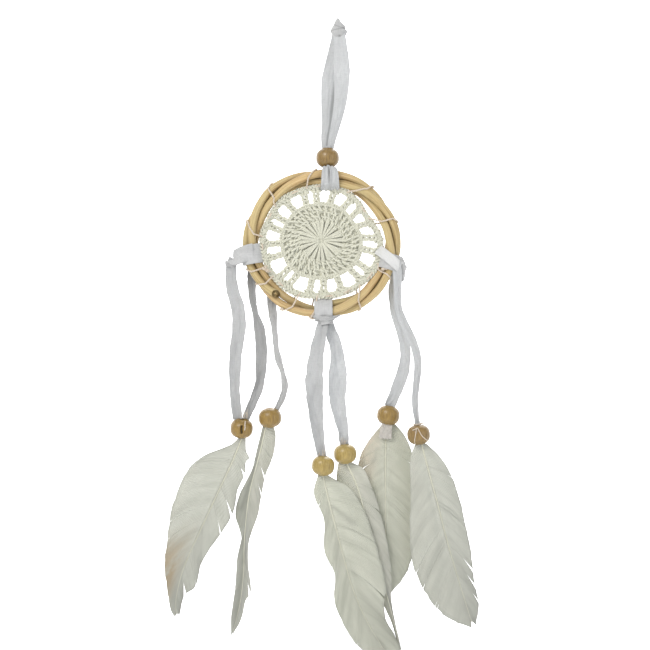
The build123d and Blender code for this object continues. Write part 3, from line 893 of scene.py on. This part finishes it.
def painted_shadows(*marks):
    """Painted shade on a vane: lines from one (x, z) place to another, with half width and darkness."""
    def shade(points):
        dark = np.zeros(len(points))
        flat = points[:, (0, 2)]
        for a, b, wide, amount in marks:
            a, b = np.array(a, float), np.array(b, float)
            t = np.clip((flat - a) @ (b - a) / ((b - a) @ (b - a)), 0, 1)
            off = np.linalg.norm(flat - a - t[:, None] * (b - a), axis=1)
            dark = dark + amount * np.exp(-(off / (wide * (0.35 + 0.65 * t))) ** 2)
        return dark
    return shade


def feather(name, rachis, left, right, y, material, curls, seed, sway, splits, quill_r=0.5, shaded_fold=None,
            shade=None, lead=0.13):
    """A feather under its bead: quill and rachis, and the two sides of its vane."""
    quill = smooth([(x, 0.0, z) for x, z in rachis], 240)
    at = np.linspace(0, 1, len(quill))
    quill[:, 1] = y + sway * np.sin(math.pi * at) * at
    body = BODIES[name]
    pieces = []
    for side, edge, curl, label in ((-1, left, curls[0], "left"), (1, right, curls[1], "right")):
        border = smooth([(x, 0.0, z) for x, z in edge], 240)
        border[:, 1] = np.interp(np.linspace(0, 1, len(border)), at, quill[:, 1])
        vane = Skin()
        vane_side(vane, quill, border, side, curl, seed + 50 * (side > 0), splits[side > 0], lead)
        dress = shaded_fold if shaded_fold is not None and side < 0 else material
        stands_for = [f"{name}_feather"] if side < 0 else ()
        pieces.append(vane.build(f"{name}_vane_{label}", dress, body, stands_for, shade))
    stem = Skin()
    top = quill[0] + np.array([0, 0, 4.5])
    line = smooth(np.vstack([top[None], quill[::20], quill[-1:]]), 160)
    s = np.linspace(0, 1, len(line))
    line[:, 1] -= 0.12
    stem.tube(line, quill_r * (1 - 0.9 * s**0.7) + 0.04, sides=12, squash=0.85)
    pieces.append(stem.build(f"{name}_rachis", QUILL, body))
    return pieces


def even_curl(amount, wave=0.0, pitch=0.4, seed=0):
    """How far a vane's side bends back from flat, as a share of its width."""
    return lambda t, u: amount * u**2 + wave * wobble(t + 0.1 * u, pitch, seed) * u**1.5


# light, shade, the stain's colour and where down the feather the stain starts
FEATHER_WHITE, FEATHER_STAINED, FEATHER_GREEN, FEATHER_CREAM, FEATHER_GREY, FEATHER_SHADE = (
    feather_material(f"feather_{kind}", *look) for kind, *look in (
        ("white", (0.665, 0.66, 0.575), (0.52, 0.525, 0.445), (0.60, 0.60, 0.50), 0.95),
        ("stained", (0.65, 0.655, 0.58), (0.535, 0.54, 0.47), (0.46, 0.35, 0.21), 0.42),
        ("green", (0.665, 0.67, 0.57), (0.52, 0.53, 0.44), (0.54, 0.52, 0.42), 0.85),
        ("cream", (0.665, 0.67, 0.57), (0.52, 0.53, 0.44), (0.74, 0.66, 0.55), -0.10),
        ("grey", (0.645, 0.65, 0.575), (0.525, 0.53, 0.465), (0.53, 0.53, 0.48), 0.9),
        # the fold copy is darker: painted shade for a feather's folded side
        ("fold", (0.47, 0.48, 0.41), (0.39, 0.395, 0.335), (0.42, 0.42, 0.38), 0.95)))

# each feather's rachis, left edge and right edge, all downwards, as (x, z) millimetres
FEATHERS = {
    "outer_left": dict(
        y=BACK_Y, material=FEATHER_STAINED, seed=3, sway=-1.5, lead=0.17,
        splits=((), ((0.20, 0.35, 0.012), (0.42, 0.55, 0.010), (0.53, 0.4, 0.004), (0.9, 0.5, 0.012))),
        curls=(even_curl(0.07, 0.025, 0.5, 1), even_curl(0.10, 0.04, 0.3, 2)),
        rachis=[(-54.5, -222), (-59.5, -235), (-67, -251), (-77.5, -273.5), (-86.5, -293.5), (-91.3, -311),
                (-91.5, -322)],
        left=[(-56.5, -222.3), (-60.5, -226), (-66, -228.2), (-75.5, -232), (-84.5, -239.5),
              (-90.5, -251.5), (-94.5, -264), (-96.5, -279.5), (-98, -293.5), (-96.5, -308),
              (-94.5, -319.5), (-92, -323)],
        right=[(-52.3, -222), (-52, -229.5), (-50.2, -233.5), (-52.2, -236), (-53, -243), (-57, -252),
               (-59, -263), (-64.5, -273.5), (-72, -284), (-77.5, -293.5), (-80.5, -305.5), (-87, -311.5),
               (-89.5, -321.5)],
    ),
    "inner_left": dict(
        y=BACK_Y, material=FEATHER_WHITE, seed=9, sway=-1,
        # its left side in the darker fold copy: painted shade
        shaded_fold=FEATHER_SHADE,
        splits=(((0.2, 0.6, 0.012),), ((0.25, 0.7, 0.008), (0.33, 0.5, 0.006), (0.8, 0.4, 0.012))),
        curls=(even_curl(0.42, 0.08, 0.3, 3), even_curl(0.35, 0.10, 0.35, 4)),
        shade=painted_shadows(((-45.5, -236), (-55, -262), 1.6, 0.35), ((-50, -275), (-53.5, -292), 1.2, 0.3)),
        rachis=[(-41, -215.5), (-44, -229.5), (-47.4, -242), (-50.8, -257), (-53, -279.5), (-53.5, -298.5),
                (-55.5, -315.5), (-59.6, -332)],
        left=[(-42.8, -215.8), (-46, -228.5), (-49.6, -242), (-55.8, -254), (-58.4, -265.5), (-55, -279.5),
              (-57.5, -291), (-58.5, -307), (-60.8, -324), (-60.6, -334)],
        right=[(-36.6, -215.6), (-35.4, -222), (-37, -232.5), (-41.5, -244.5), (-44, -257.5), (-46, -267.5),
               (-50.5, -280.5), (-51, -294), (-49.5, -309.5), (-52.5, -314.5), (-55, -325), (-59.6, -333)],
    ),
    "bottom_front": dict(
        y=-5, material=FEATHER_GREEN, seed=17, sway=-1.2,
        splits=(((0.15, 0.2, 0.003),), ((0.66, 0.3, 0.006),)), lead=0.16,
        shade=painted_shadows(((-4, -259), (8, -269), 2, 0.34), ((-2.6, -240.5), (-1, -245), 1.1, 0.5),
                      ((3, -287), (10, -300), 2, 0.12)),
        curls=(even_curl(0.30, 0.06, 0.28, 5), even_curl(0.10, 0.03, 0.33, 6)),
        rachis=[(-8.8, -242), (-6, -254.5), (-2, -270), (2.5, -287), (8.5, -307), (16.5, -325), (27, -342)],
        left=[(-11.5, -242), (-13.8, -253), (-8.2, -267.5), (-8, -285), (-2.2, -298.5), (-2.5, -312),
              (1.5, -324), (8, -335), (17.5, -344), (27.5, -345)],
        right=[(-6.2, -242), (-1, -245.2), (4.5, -248), (10.5, -255), (15.5, -265), (21, -281.5),
               (26.3, -303), (25.5, -314.5), (26.5, -323), (32, -333), (35, -343), (28.5, -345)],
    ),
    "bottom_back": dict(
        y=0, material=FEATHER_WHITE, seed=29, sway=-0.5,
        quill_r=0.65, splits=((), ((0.3, 0.4, 0.01), (0.62, 0.3, 0.008))),
        curls=(even_curl(0.12, 0.05, 0.4, 7), even_curl(0.14, 0.06, 0.3, 8)),
        rachis=[(4.5, -235.5), (10.5, -249), (15.5, -267.5), (20.5, -288), (26.5, -308), (31, -325),
                (34.5, -340.5)],
        left=[(-0.2, -236), (-1, -246.5), (3.5, -262), (7.5, -279), (14.5, -295.5), (23, -311.5),
              (29.5, -325), (34, -340.5)],
        right=[(8, -235.6), (13.8, -239), (17.5, -246.5), (23, -262), (27.5, -281.5), (29.8, -298.5),
               (29.6, -312.5), (32.4, -328), (35.2, -340.5)],
    ),
    "inner_right": dict(
        y=BACK_Y, material=FEATHER_CREAM, seed=37, sway=-1,
        splits=(((0.3, 0.5, 0.006),), ((0.25, 0.2, 0.003),)), lead=0.16,
        shade=painted_shadows(((22, -228), (15, -250), 2, 0.2)),
        curls=(even_curl(0.22, 0.05, 0.4, 9), even_curl(0.10, 0.05, 0.4, 10)),
        rachis=[(27.5, -214), (26.6, -225.5), (26.4, -245.5), (26.4, -267.5), (26.8, -290), (27.6, -309)],
        left=[(24.4, -214.6), (17, -224), (11.5, -235.5), (12, -251), (14.5, -267.5), (19, -284.5),
              (25, -300), (27, -311)],
        right=[(32.5, -214.8), (38, -222), (41.5, -232), (43, -253.5), (43.3, -273.5), (41, -291),
               (36.5, -301.5), (29, -310)],
    ),
    "outer_right": dict(
        y=FRONT_Y, material=FEATHER_GREY, seed=45, sway=0.8,
        splits=((), ((0.22, 0.2, 0.003), (0.72, 0.45, 0.010), (0.80, 0.4, 0.012), (0.88, 0.3, 0.008))),
        lead=0.16, shade=painted_shadows(((50, -250), (58, -292), 2.5, 0.12)),
        curls=(even_curl(0.20, 0.02, 0.5, 11), even_curl(0.12, 0.025, 0.35, 12)),
        rachis=[(46, -224), (51, -243), (55.5, -259.5), (60.5, -279), (66.5, -299.5), (74, -324)],
        left=[(42.6, -224.8), (39.9, -234), (40.2, -253.5), (39.8, -273.5), (41, -290), (46, -303.5),
              (53.5, -315.5), (62.5, -323), (74, -327.3)],
        right=[(49.5, -225), (56.5, -232), (62.5, -241.5), (67.5, -255.5), (71, -271), (73.7, -284),
               (76, -303), (78.2, -314), (76.5, -325.5)],
    ),
}
for place, spec in FEATHERS.items():
    PENDANTS[place] += feather(place, **spec)

# ---------------------------------------------------------------- the tie on the outer right bead
tie = Skin()
TIE = dict(pitch=1.2, plies=2, density=4)
tie.yarn([(40.6, -9.8, -217), (41.8, -12.4, -216.4), (43.2, -12.6, -215.6), (44, -12.3, -216.2),
          (46, -12.5, -219.8), (49.2, -10.6, -222.6), (50.4, -7, -223.6)], 0.3, **TIE)
tie.yarn([(43, -12.5, -215.4), (42.6, -12.7, -218.6), (42, -11.6, -222.2), (42.4, -9, -225)], 0.28, **TIE)
turn = np.linspace(0, 1, 30)
mouth = (44.5 + 2.9 * np.cos(TAU * turn), -6.2 + 2.9 * np.sin(TAU * turn), -213.6 + 0.3 * np.sin(9 * turn))
tie.yarn(np.stack(mouth, 1), 0.3, **TIE)
PENDANTS["outer_right"].append(tie.build("bead_tie_thread", THREAD, "right_front_pendant",
                                         ["bead_tie"]))


def painted_shade_from_top(amount, reach):
    """Painted shade that fades down a ribbon."""
    return lambda u, s: amount * np.clip(1 - s / reach, 0, 1)


hanging_ribbon(
    "left_ribbon_outer", 1,
    [(-58.8, -1.5, -121.5), (-60.4, 1, -128), (-60, 4.4, -137.8), (-56.4, 5.3, -148), (-55.6, 5.3, -160),
     (-58.2, 5.3, -174), (-58.2, 5.3, -192), (-56.8, 5.6, -211.6)],
    (6.4, 7.4, 7.4, 7.4, 7.8, 7.6, 7.6, 7.6, 7.4, 7.2, 5.4),
    (40, 6, 10, -10, 8, 16, 22, 12, 6, 4, 0),
    (0.2, 0.25, 0.2, 0.1, 0.3, 0.2, 0.1, 0.2, 0.2, 0.5, 0.9), RIBBON_GREY)
hanging_ribbon(
    "left_ribbon_inner", 2,
    [(-47.6, 6.2, -124), (-48.4, 6.4, -131), (-48.4, 6.8, -138), (-47.4, 7.1, -149), (-43.4, 7.1, -164),
     (-43.4, 7.1, -180), (-45.4, 7.1, -197), (-52.2, 6.6, -211.4)],
    (6.2, 5.8, 5.4, 5.2, 5.8, 6.8, 6.8, 6.4, 6.6, 6.2, 4.2),
    (10, 30, 58, 46, 30, 10, -14, -26, -12, 10, 0),
    (0.2, 0.3, 0.5, 0.4, 0.2, 0.1, 0.3, 0.2, 0.2, 0.4, 0.9), RIBBON_WARM,
    shade=painted_shade_from_top(0.8, 1.6))
hanging_ribbon(
    "rear_ribbon", 3,
    [(-36.6, 6.6, -136), (-37.2, 6.5, -142.5), (-37.2, 6.2, -148.8), (-35.4, 6.2, -163),
     (-34.6, 6.2, -175), (-30.6, 6.2, -186), (-29.2, 6.2, -197), (-34.8, 6.2, -206.2)],
    (6.4, 6, 4.6, 4.4, 4.6, 4.6, 5, 5.2, 5.2, 4.8, 3),
    (0, 20, 56, 60, 48, 50, 56, 52, 46, 30, 10),
    (0.2, 0.2, 0.4, 0.3, 0.3, 0.3, 0.4, 0.3, 0.2, 0.4, 0.8), RIBBON_WARM,
    shade=painted_shade_from_top(0.75, 0.4))
hanging_ribbon(
    "bottom_ribbon_back", 4,
    [(-6.6, -0.6, -153.5), (-5.6, 0, -159), (-0.8, 0, -172), (-0.6, 0, -186), (-0.8, 0, -198),
     (1.2, 0, -212), (3.4, 0, -225.6)],
    (5, 6.6, 8, 9.8, 10.6, 10.6, 10, 9.8, 9, 7.8, 5),
    (10, -30, -16, 8, 14, 8, 4, -10, -16, -12, 0),
    (0.3, 0.35, 0.2, 0.12, 0.2, 0.2, 0.25, 0.25, 0.35, 0.4, 0.8), RIBBON)
hanging_ribbon(
    "bottom_ribbon_front", 5,
    [(-8.8, -3.9, -157), (-9.4, -4.6, -161), (-12.6, -5, -176), (-13.4, -5, -190), (-13.2, -5, -206),
     (-11.4, -5, -219), (-9.3, -5, -231.8)],
    (6, 8, 8.4, 8.6, 9.4, 10.4, 10.4, 10, 9, 7.2, 4.8),
    (0, 20, 26, 10, -4, -10, -4, 4, 8, 8, 0),
    (0.3, 0.3, 0.2, 0.2, 0.2, 0.15, 0.15, 0.2, 0.3, 0.4, 0.8), RIBBON_GREY)
hanging_ribbon(
    "right_ribbon_back", 6,
    [(31.2, 5.6, -122.5), (31.8, 6, -129), (29.8, 6.2, -137.2), (30.9, 6.2, -152), (37.6, 6.2, -168),
     (38.4, 6.2, -180), (33.8, 6.2, -194), (28.4, 6.2, -204.6)],
    (6.4, 5.6, 4.4, 4, 4.6, 5.4, 6, 6.6, 7.2, 7.2, 5.8),
    (60, 54, 60, 44, 30, 18, 20, 30, 28, 12, 0),
    (0.3, 0.3, 0.3, 0.2, 0.2, 0.2, 0.3, 0.2, 0.2, 0.3, 0.7), RIBBON)
hanging_ribbon(
    "right_ribbon_front", 7,
    [(32.4, -5.2, -123), (33, -6, -129), (32.8, -6.2, -137.2), (32.9, -6.2, -151), (41, -6.2, -166),
     (44.8, -6.2, -177), (44, -6.2, -190), (42.2, -6.2, -202), (44.1, -6.2, -214.4)],
    (5.6, 5.6, 5.2, 4.2, 4, 4.8, 5.6, 6, 5.6, 5.2, 2.7),
    (30, 8, 18, 34, 42, 40, 44, 50, 46, 30, 10),
    (0.3, 0.2, 0.2, 0.3, 0.3, 0.3, 0.3, 0.2, 0.2, 0.3, 0.7), RIBBON)


# ---------------------------------------------------------------- hitches
def band_line(degrees, radius, turns):
    """A ribbon's line round the ring's canes, from the inside over the front, and its width's direction."""
    a = np.radians(degrees)
    outward = unit(np.array([RING_B * math.cos(a), 0, RING_A * math.sin(a)]))
    t = np.linspace(0, 1, 90)
    w = TAU * turns * t + 0.35
    r = radius + 0.55 * t * turns
    turning = -outward * np.cos(w)[:, None] + np.array([0, -1.0, 0]) * np.sin(w)[:, None]
    return ring_point(degrees) + turning * r[:, None], (-RING_A * math.sin(a), 0, RING_B * math.cos(a))


def folds(amount, seed):
    def profile(u, s):
        long_folds = amount * np.sin(6.3 * u + 2.2 * wobble(s, 0.5, seed))
        return long_folds + 0.6 * amount * wobble(s + 0.2 * u, 0.23, seed + 1)
    return profile


def layer(skin, line, across, wide, amount, seed, variant=0, **more):
    """One run of a hitch's ribbon. across: its width's direction, or its turn in degrees at both ends."""
    if len(across) == 2:
        across = turned(line, np.linspace(*across, len(line)))
    strip(skin, line, across, wide, folds(amount, seed + variant), seed=seed, **more)


left_hitch = Skin()
layer(left_hitch, *band_line(189, 5.25, 1.6), 10.8, 0.16, 31, columns=18)
fold = smooth([(-47.5, -6.2, -118.2), (-52.5, -6.9, -119), (-56.5, -5.6, -120.6), (-59.6, -2.6, -122.8),
               (-60.6, 0, -126)], 60)
across = np.array([0.25, 0.2, -1.0]) + np.linspace(0, 1, 60)[:, None] * np.array([-1.1, 0.3, 0.6])
layer(left_hitch, fold, across, np.linspace(10.6, 6.2, 60), 0.22, 33)
back = smooth([(-51.5, 5.6, -120), (-49.5, 6.6, -122.5), (-48, 6.9, -127), (-48.2, 6.9, -132)], 30)
layer(left_hitch, back, (0, 20), 7.0, 0.2, 35)
left_hitch.build("left_hitch_cloth", RIBBON_LIGHT, "ring", ["left_hitch"])

bottom_hitch = Skin()
layer(bottom_hitch, *band_line(271.5, 5.25, 1.5), 10.2, 0.16, 41, columns=18)
collar_t = np.linspace(0, 1, 50)
for k, (drop, wide, tall) in enumerate(((-155.0, 4.4, 2.6), (-157.0, 3.4, 3.0))):
    w = TAU * (1.15 * collar_t + 0.2 * k)
    collar = np.stack([-7.0 + wide * np.cos(w), -2.6 + 2.6 * np.sin(w), drop + 0.7 * np.cos(w + 0.6)], 1)
    layer(bottom_hitch, collar, (0.1, 0, 1.0), tall, 0.2, 43, k)
wing = smooth([(-16.4, -2.6, -152.6), (-12, -4.6, -154.2), (-7.6, -5.8, -155), (-3, -4.8, -154.4),
               (0.8, -2.8, -153)], 40)
wing_wide = table((0.8, 2.2, 3.0, 2.2, 0.8), np.linspace(0, 1, 40))
layer(bottom_hitch, wing, (0.0, -0.1, 1.0), wing_wide, 0.15, 47)
bottom_hitch.build("bottom_hitch_cloth", RIBBON_LIGHT, "ring", ["bottom_hitch"])

right_hitch = Skin()
layer(right_hitch, *band_line(344.5, 5.25, 1.4), 9.0, 0.2, 51, columns=18)
for k, y in enumerate((-5.4, 5.4)):
    drop = smooth([(33.2, y * 0.9, -121), (34.6, y * 0.95, -124.6), (34.6, y, -129),
                   (33.6, y * 1.05, -133.4)], 40)
    layer(right_hitch, drop, (30, 10), np.linspace(5.2, 5.6, 40), 0.25, 53, k)
right_hitch.build("right_hitch_cloth", RIBBON_LIGHT, "ring", ["right_hitch"])
# a painted highlight: a band of ribbon in the bright white copy over the right hitch
highlight_band = Skin()
line = smooth([(21.8, -1.6, -116.2), (24.2, -4.4, -118), (28.6, -6.6, -121.6), (32.8, -6.5, -125.2),
               (36, -3.8, -127.8), (36.6, -0.4, -128.4)], 60)
layer(highlight_band, line, (0.64, 0.0, 0.77), 5.8, 0.16, 57)
highlight_band.build("right_hitch_highlight_band_cloth", RIBBON_HIGHLIGHT, "ring")

rear_tab = Skin()
line = smooth([(-33.5, 5.6, -131), (-36, 6, -134.5), (-37.2, 6.6, -140), (-37.5, 6.5, -146)], 40)
layer(rear_tab, line, (20, 0), 5.2, 0.2, 61)
# painted shade all over the rear tab
rear_tab.build("rear_tab_cloth", RIBBON_WARM, "ring", ["rear_tab"],
               shade=lambda p: np.full(len(p), 0.5))

# the top hitch: two runs of the loop's ribbon, out of the bead, under the ring and up behind it
top_hitch = Skin()
even = np.linspace(0, 1, 160)
for k, (shift, wide) in enumerate(((-2.4, 5.6), (2.4, 6.2))):
    bead_x, front = -6.2 + 0.2 * shift, -7.0 - 0.5 * k
    line = smooth([(bead_x, -0.9, -64.0), (-6.2 + 0.25 * shift, -1.2, -70.4),
                   (-6.0 + 0.5 * shift, -3.2, -71.2), (-5.4 + 0.6 * shift, -5.6, -70.0 - 0.3 * k),
                   (-5.0 + 0.9 * shift, front, -72.4), (-4.9 + shift, front, -76.6),
                   (-4.9 + shift, -5.8, -80.4), (-4.9 + shift, -1.0, -82.8), (-4.9 + shift, 3.6, -82.2),
                   (-4.9 + shift, 6.4, -78.0), (-5.0 + shift, 6.2, -74.0), (-5.8 + 0.6 * shift, 3.6, -70.8),
                   (bead_x, 1.2, -70.2), (bead_x, 0.9, -64.0)], 160)
    width = table((2.6, 3.0, 4.4, 5.0) + (wide,) * 7 + (5.2, 3.2, 2.6), even)
    lean = np.array([1.0, 0.20 if k else -0.06, -0.30 if k else 0.30])
    rest = np.array([1.0, 0.10 if k else -0.06, 0.0])
    mix = np.clip((even - 0.30) / 0.12, 0, 1)[:, None]
    # painted shade along one edge of each run, on its first half
    shaded_edge = 0.9 if k else -0.9
    strip(top_hitch, line, lean * (1 - mix) + rest * mix, width, folds(0.28, 71 + k), 20, 71 + k,
          lambda u, s: 0.25 * np.exp(-((u + shaded_edge) / 0.22) ** 2) * (s < 0.5))
neck = smooth([(-6.2, 0, -58.5), (-6.2, 0, -62), (-6.2, 0, -66), (-6.2, 0, -69.5)], 30)
top_hitch.tube(neck, np.full(30, 1.75), sides=14, squash=0.8)
top_hitch.build("top_hitch_cloth", RIBBON, "swivel", ["top_hitch"])

# ---------------------------------------------------------------- hanging loop
LEG_T = np.linspace(0, 1, 140)


def loop_leg(node, route, wide, twist, seed, shade=None):
    """One leg of the loop, from the knot into the top bead."""
    line = nurbs([(x * MM, y * MM, z * MM) for x, y, z in route], 140) / MM

    def profile(u, s):
        roll = 0.35 * np.cos(3.6 * u + 0.8 * wobble(s, 0.6, seed)) * np.minimum(1, 3 * s * (1 - s) + 0.3)
        roll = roll + 0.10 * wobble(s + 0.1 * u, 0.12, seed)
        return roll - 0.25 * np.exp(-(((u - 0.2 * wobble(s, 0.8, seed)) / 0.1) ** 2))

    skin = Skin()
    strip(skin, line, turned(line, table(twist, LEG_T)), table(wide, LEG_T), profile, 24, seed, shade)
    piece = skin.build(f"{node}_cloth", RIBBON, "hanger", [node])
    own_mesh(piece)


# painted shade on the back leg, along where the front leg lies over it
def back_leg_shade(u, s):
    return 0.62 * np.clip((u - 0.22 + 0.3 * (s - 0.5)) / 0.25, 0, 1) * np.clip(s / 0.15, 0, 1)


loop_leg("loop_leg_front",
         [(0.4, -1.6, 5), (1, -3, -3), (1.6, -3.2, -10), (1.9, -3.2, -22), (1, -3.2, -35),
          (-1.4, -2.9, -46), (-3.6, -2, -54.5), (-4.9, -0.9, -61.6)],
         (6.4, 8.0, 8.6, 8.8, 9.0, 9.2, 9.0, 8.4, 6.8, 3.4), (0, 6, 8, 4, 0, 0, -4, -8, -12, -16), 81)
loop_leg("loop_leg_back",
         [(-0.4, 1.6, 5), (-1.6, 3, -3), (-2.8, 3.2, -10), (-4.6, 3.2, -22), (-5.8, 3.2, -35),
          (-6.2, 2.9, -47), (-7.8, 2.2, -54.5), (-7.2, 0.9, -61.6)],
         (6.0, 7.2, 8.2, 9.2, 10.2, 10.4, 10.0, 9.6, 7.6, 3.6), (0, -8, -6, 0, 4, 6, 8, 10, 12, 12), 83,
         back_leg_shade)

# the knot: a lump of folded ribbon with its end drawn up to a point
knot = Skin()
rows, sides = 44, 60
a = np.linspace(0, TAU, sides, endpoint=False)[None]
z = np.linspace(0, 1, rows)[:, None]
girth = table((3.0, 4.3, 4.9, 4.85, 4.4, 3.4, 2.2, 1.5, 0.5), z[:, 0])[:, None]
uneven = 0.05 * np.cos(3 * a + 2.6 * z) + 0.03 * np.cos(5 * a - 3 * z) + 0.012 * np.cos(13 * a + 9 * z)
girth = girth * (1 + uneven)
low_fold, high_fold = z - 0.30 - 0.13 * np.cos(a + 0.9), z - 0.56 + 0.12 * np.cos(a + 0.2)
girth = girth - 0.40 * np.exp(-(low_fold / 0.035) ** 2)
girth = girth - 0.30 * np.exp(-(high_fold / 0.03) ** 2)
girth = girth + 0.9 * np.exp(-((z - 0.62) / 0.10) ** 2 - ((a - 0.25) / 0.5) ** 2)
up = 2.6 + 10.7 * z + 0 * a
# painted shade in the knot's folds and in a spot at the bottom of its front
fold_shade = np.exp(-(low_fold / 0.03) ** 2) + np.exp(-(high_fold / 0.026) ** 2)
fold_shade = fold_shade + 1.4 * np.exp(-((z - 0.04) / 0.05) ** 2 - ((a - 4.85) / 0.25) ** 2)
core = np.stack([0.1 + girth * np.cos(a) - 0.5 * z, girth * 0.82 * np.sin(a), up], -1)
flow = np.stack([4.5 * a + 0 * z, up + 3 * np.cos(a), girth * 0 + 91], -1)
knot.grid(core, flow, shade=np.clip(0.55 * fold_shade, 0, 1))
knot.build("loop_knot_cloth", RIBBON_WARM, "hanger", ["loop_knot"])

for name, body, centre, seed in (("outer_left", "left_strand", (-52.6, 4.4, -210.3), 5),
                                 ("bottom_front", "bottom_front_pendant", (-9.2, -5.6, -231.8), 6),
                                 ("bottom_back", "bottom_back_strand", (3.2, -0.8, -225.4), 7)):
    ends = Skin()
    fray(ends, np.array(centre), seed)
    ends.build(f"{name}_thread_ends", THREAD, body)

loose = Skin()
loose.yarn([(-52.2, 1.2, -212.4), (-52.4, -0.1, -214), (-52.4, -0.3, -215.8), (-52.7, 0.2, -217.4)], 0.4,
           plies=2)
loose.build("outer_left_loose_thread", THREAD, "left_pendant")

# the small cloth tab that hangs out of the inner right bead, in front of its feather
tab = Skin()
line = smooth([(27.4, 4.6, -211.5), (27.2, 3.6, -214.6), (26.6, 3.4, -218.4), (26.2, 3.7, -222.4)], 40)
layer(tab, line, (1.0, 0.06, 0.12), np.linspace(5.6, 7.4, 40), 0.2, 63)
tab.build("inner_right_tab_cloth", TAB_CLOTH, "right_back_strand")

# ---------------------------------------------------------------- stage, light and camera
def stage_material(name, colour, glow):
    n = Nodes(name)
    values = {"Base Color": (*colour, 1), "Roughness": 0.9, "Emission Color": (1, 1, 1, 1),
              "Emission Strength": glow}
    n.tree.links.new(n.add("ShaderNodeBsdfPrincipled", values).outputs[0], n.out.inputs["Surface"])
    return n.material


def plane(name, corners, material):
    mesh = bpy.data.meshes.new(name)
    mesh.from_pydata(corners, [], [(0, 1, 2, 3)])
    mesh.materials.append(material)
    obj = bpy.data.objects.new(name, mesh)
    bpy.context.scene.collection.objects.link(obj)
    obj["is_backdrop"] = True


FLOOR_Z, WALL_Y = -0.62, 1.7
plane("floor", [(-4, -4, FLOOR_Z), (4, -4, FLOOR_Z), (4, WALL_Y, FLOOR_Z), (-4, WALL_Y, FLOOR_Z)],
      stage_material("pale_floor", (0.9, 0.9, 0.9), 0.12))
plane("backdrop", [(-4, WALL_Y, FLOOR_Z), (4, WALL_Y, FLOOR_Z), (4, WALL_Y, 3), (-4, WALL_Y, 3)],
      stage_material("white_backdrop", (0.95, 0.95, 0.95), 1.0))

world = bpy.data.worlds.new("studio")
bpy.context.scene.world = world
world.use_nodes = True
world.node_tree.nodes["Background"].inputs["Color"].default_value = (0.95, 0.97, 1.0, 1)
world.node_tree.nodes["Background"].inputs["Strength"].default_value = 0.62


def area_light(name, place, aim, size, power, colour):
    data = bpy.data.lights.new(name, "AREA")
    data.size, data.energy, data.color = size, power, colour
    lamp = bpy.data.objects.new(name, data)
    bpy.context.scene.collection.objects.link(lamp)
    lamp.location = place
    direction = np.array(aim) - np.array(place)
    lamp.rotation_euler = Vector(direction).to_track_quat("-Z", "Y").to_euler()


area_light("key", (-0.55, -0.9, 0.55), (0, 0, -0.17), 0.5, 9.0, (1.0, 0.98, 0.95))
area_light("fill", (0.9, -0.8, 0.0), (0, 0, -0.2), 0.8, 2.5, (0.95, 0.97, 1.0))
area_light("rim", (0.2, 0.7, 0.7), (0, 0, -0.15), 0.5, 3.0, (1, 1, 1))

camera_data = bpy.data.cameras.new("camera")
camera_data.lens, camera_data.sensor_width = 100.0, 36.0
VIEW_WIDE = 0.364
camera = bpy.data.objects.new("camera", camera_data)
bpy.context.scene.collection.objects.link(camera)
camera.location = (-0.0076, -VIEW_WIDE * camera_data.lens / camera_data.sensor_width, -0.1585)
camera.rotation_euler = (math.pi / 2, 0, 0)
bpy.context.scene.camera = camera
bpy.context.scene.view_settings.view_transform = "Standard"

low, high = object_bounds()
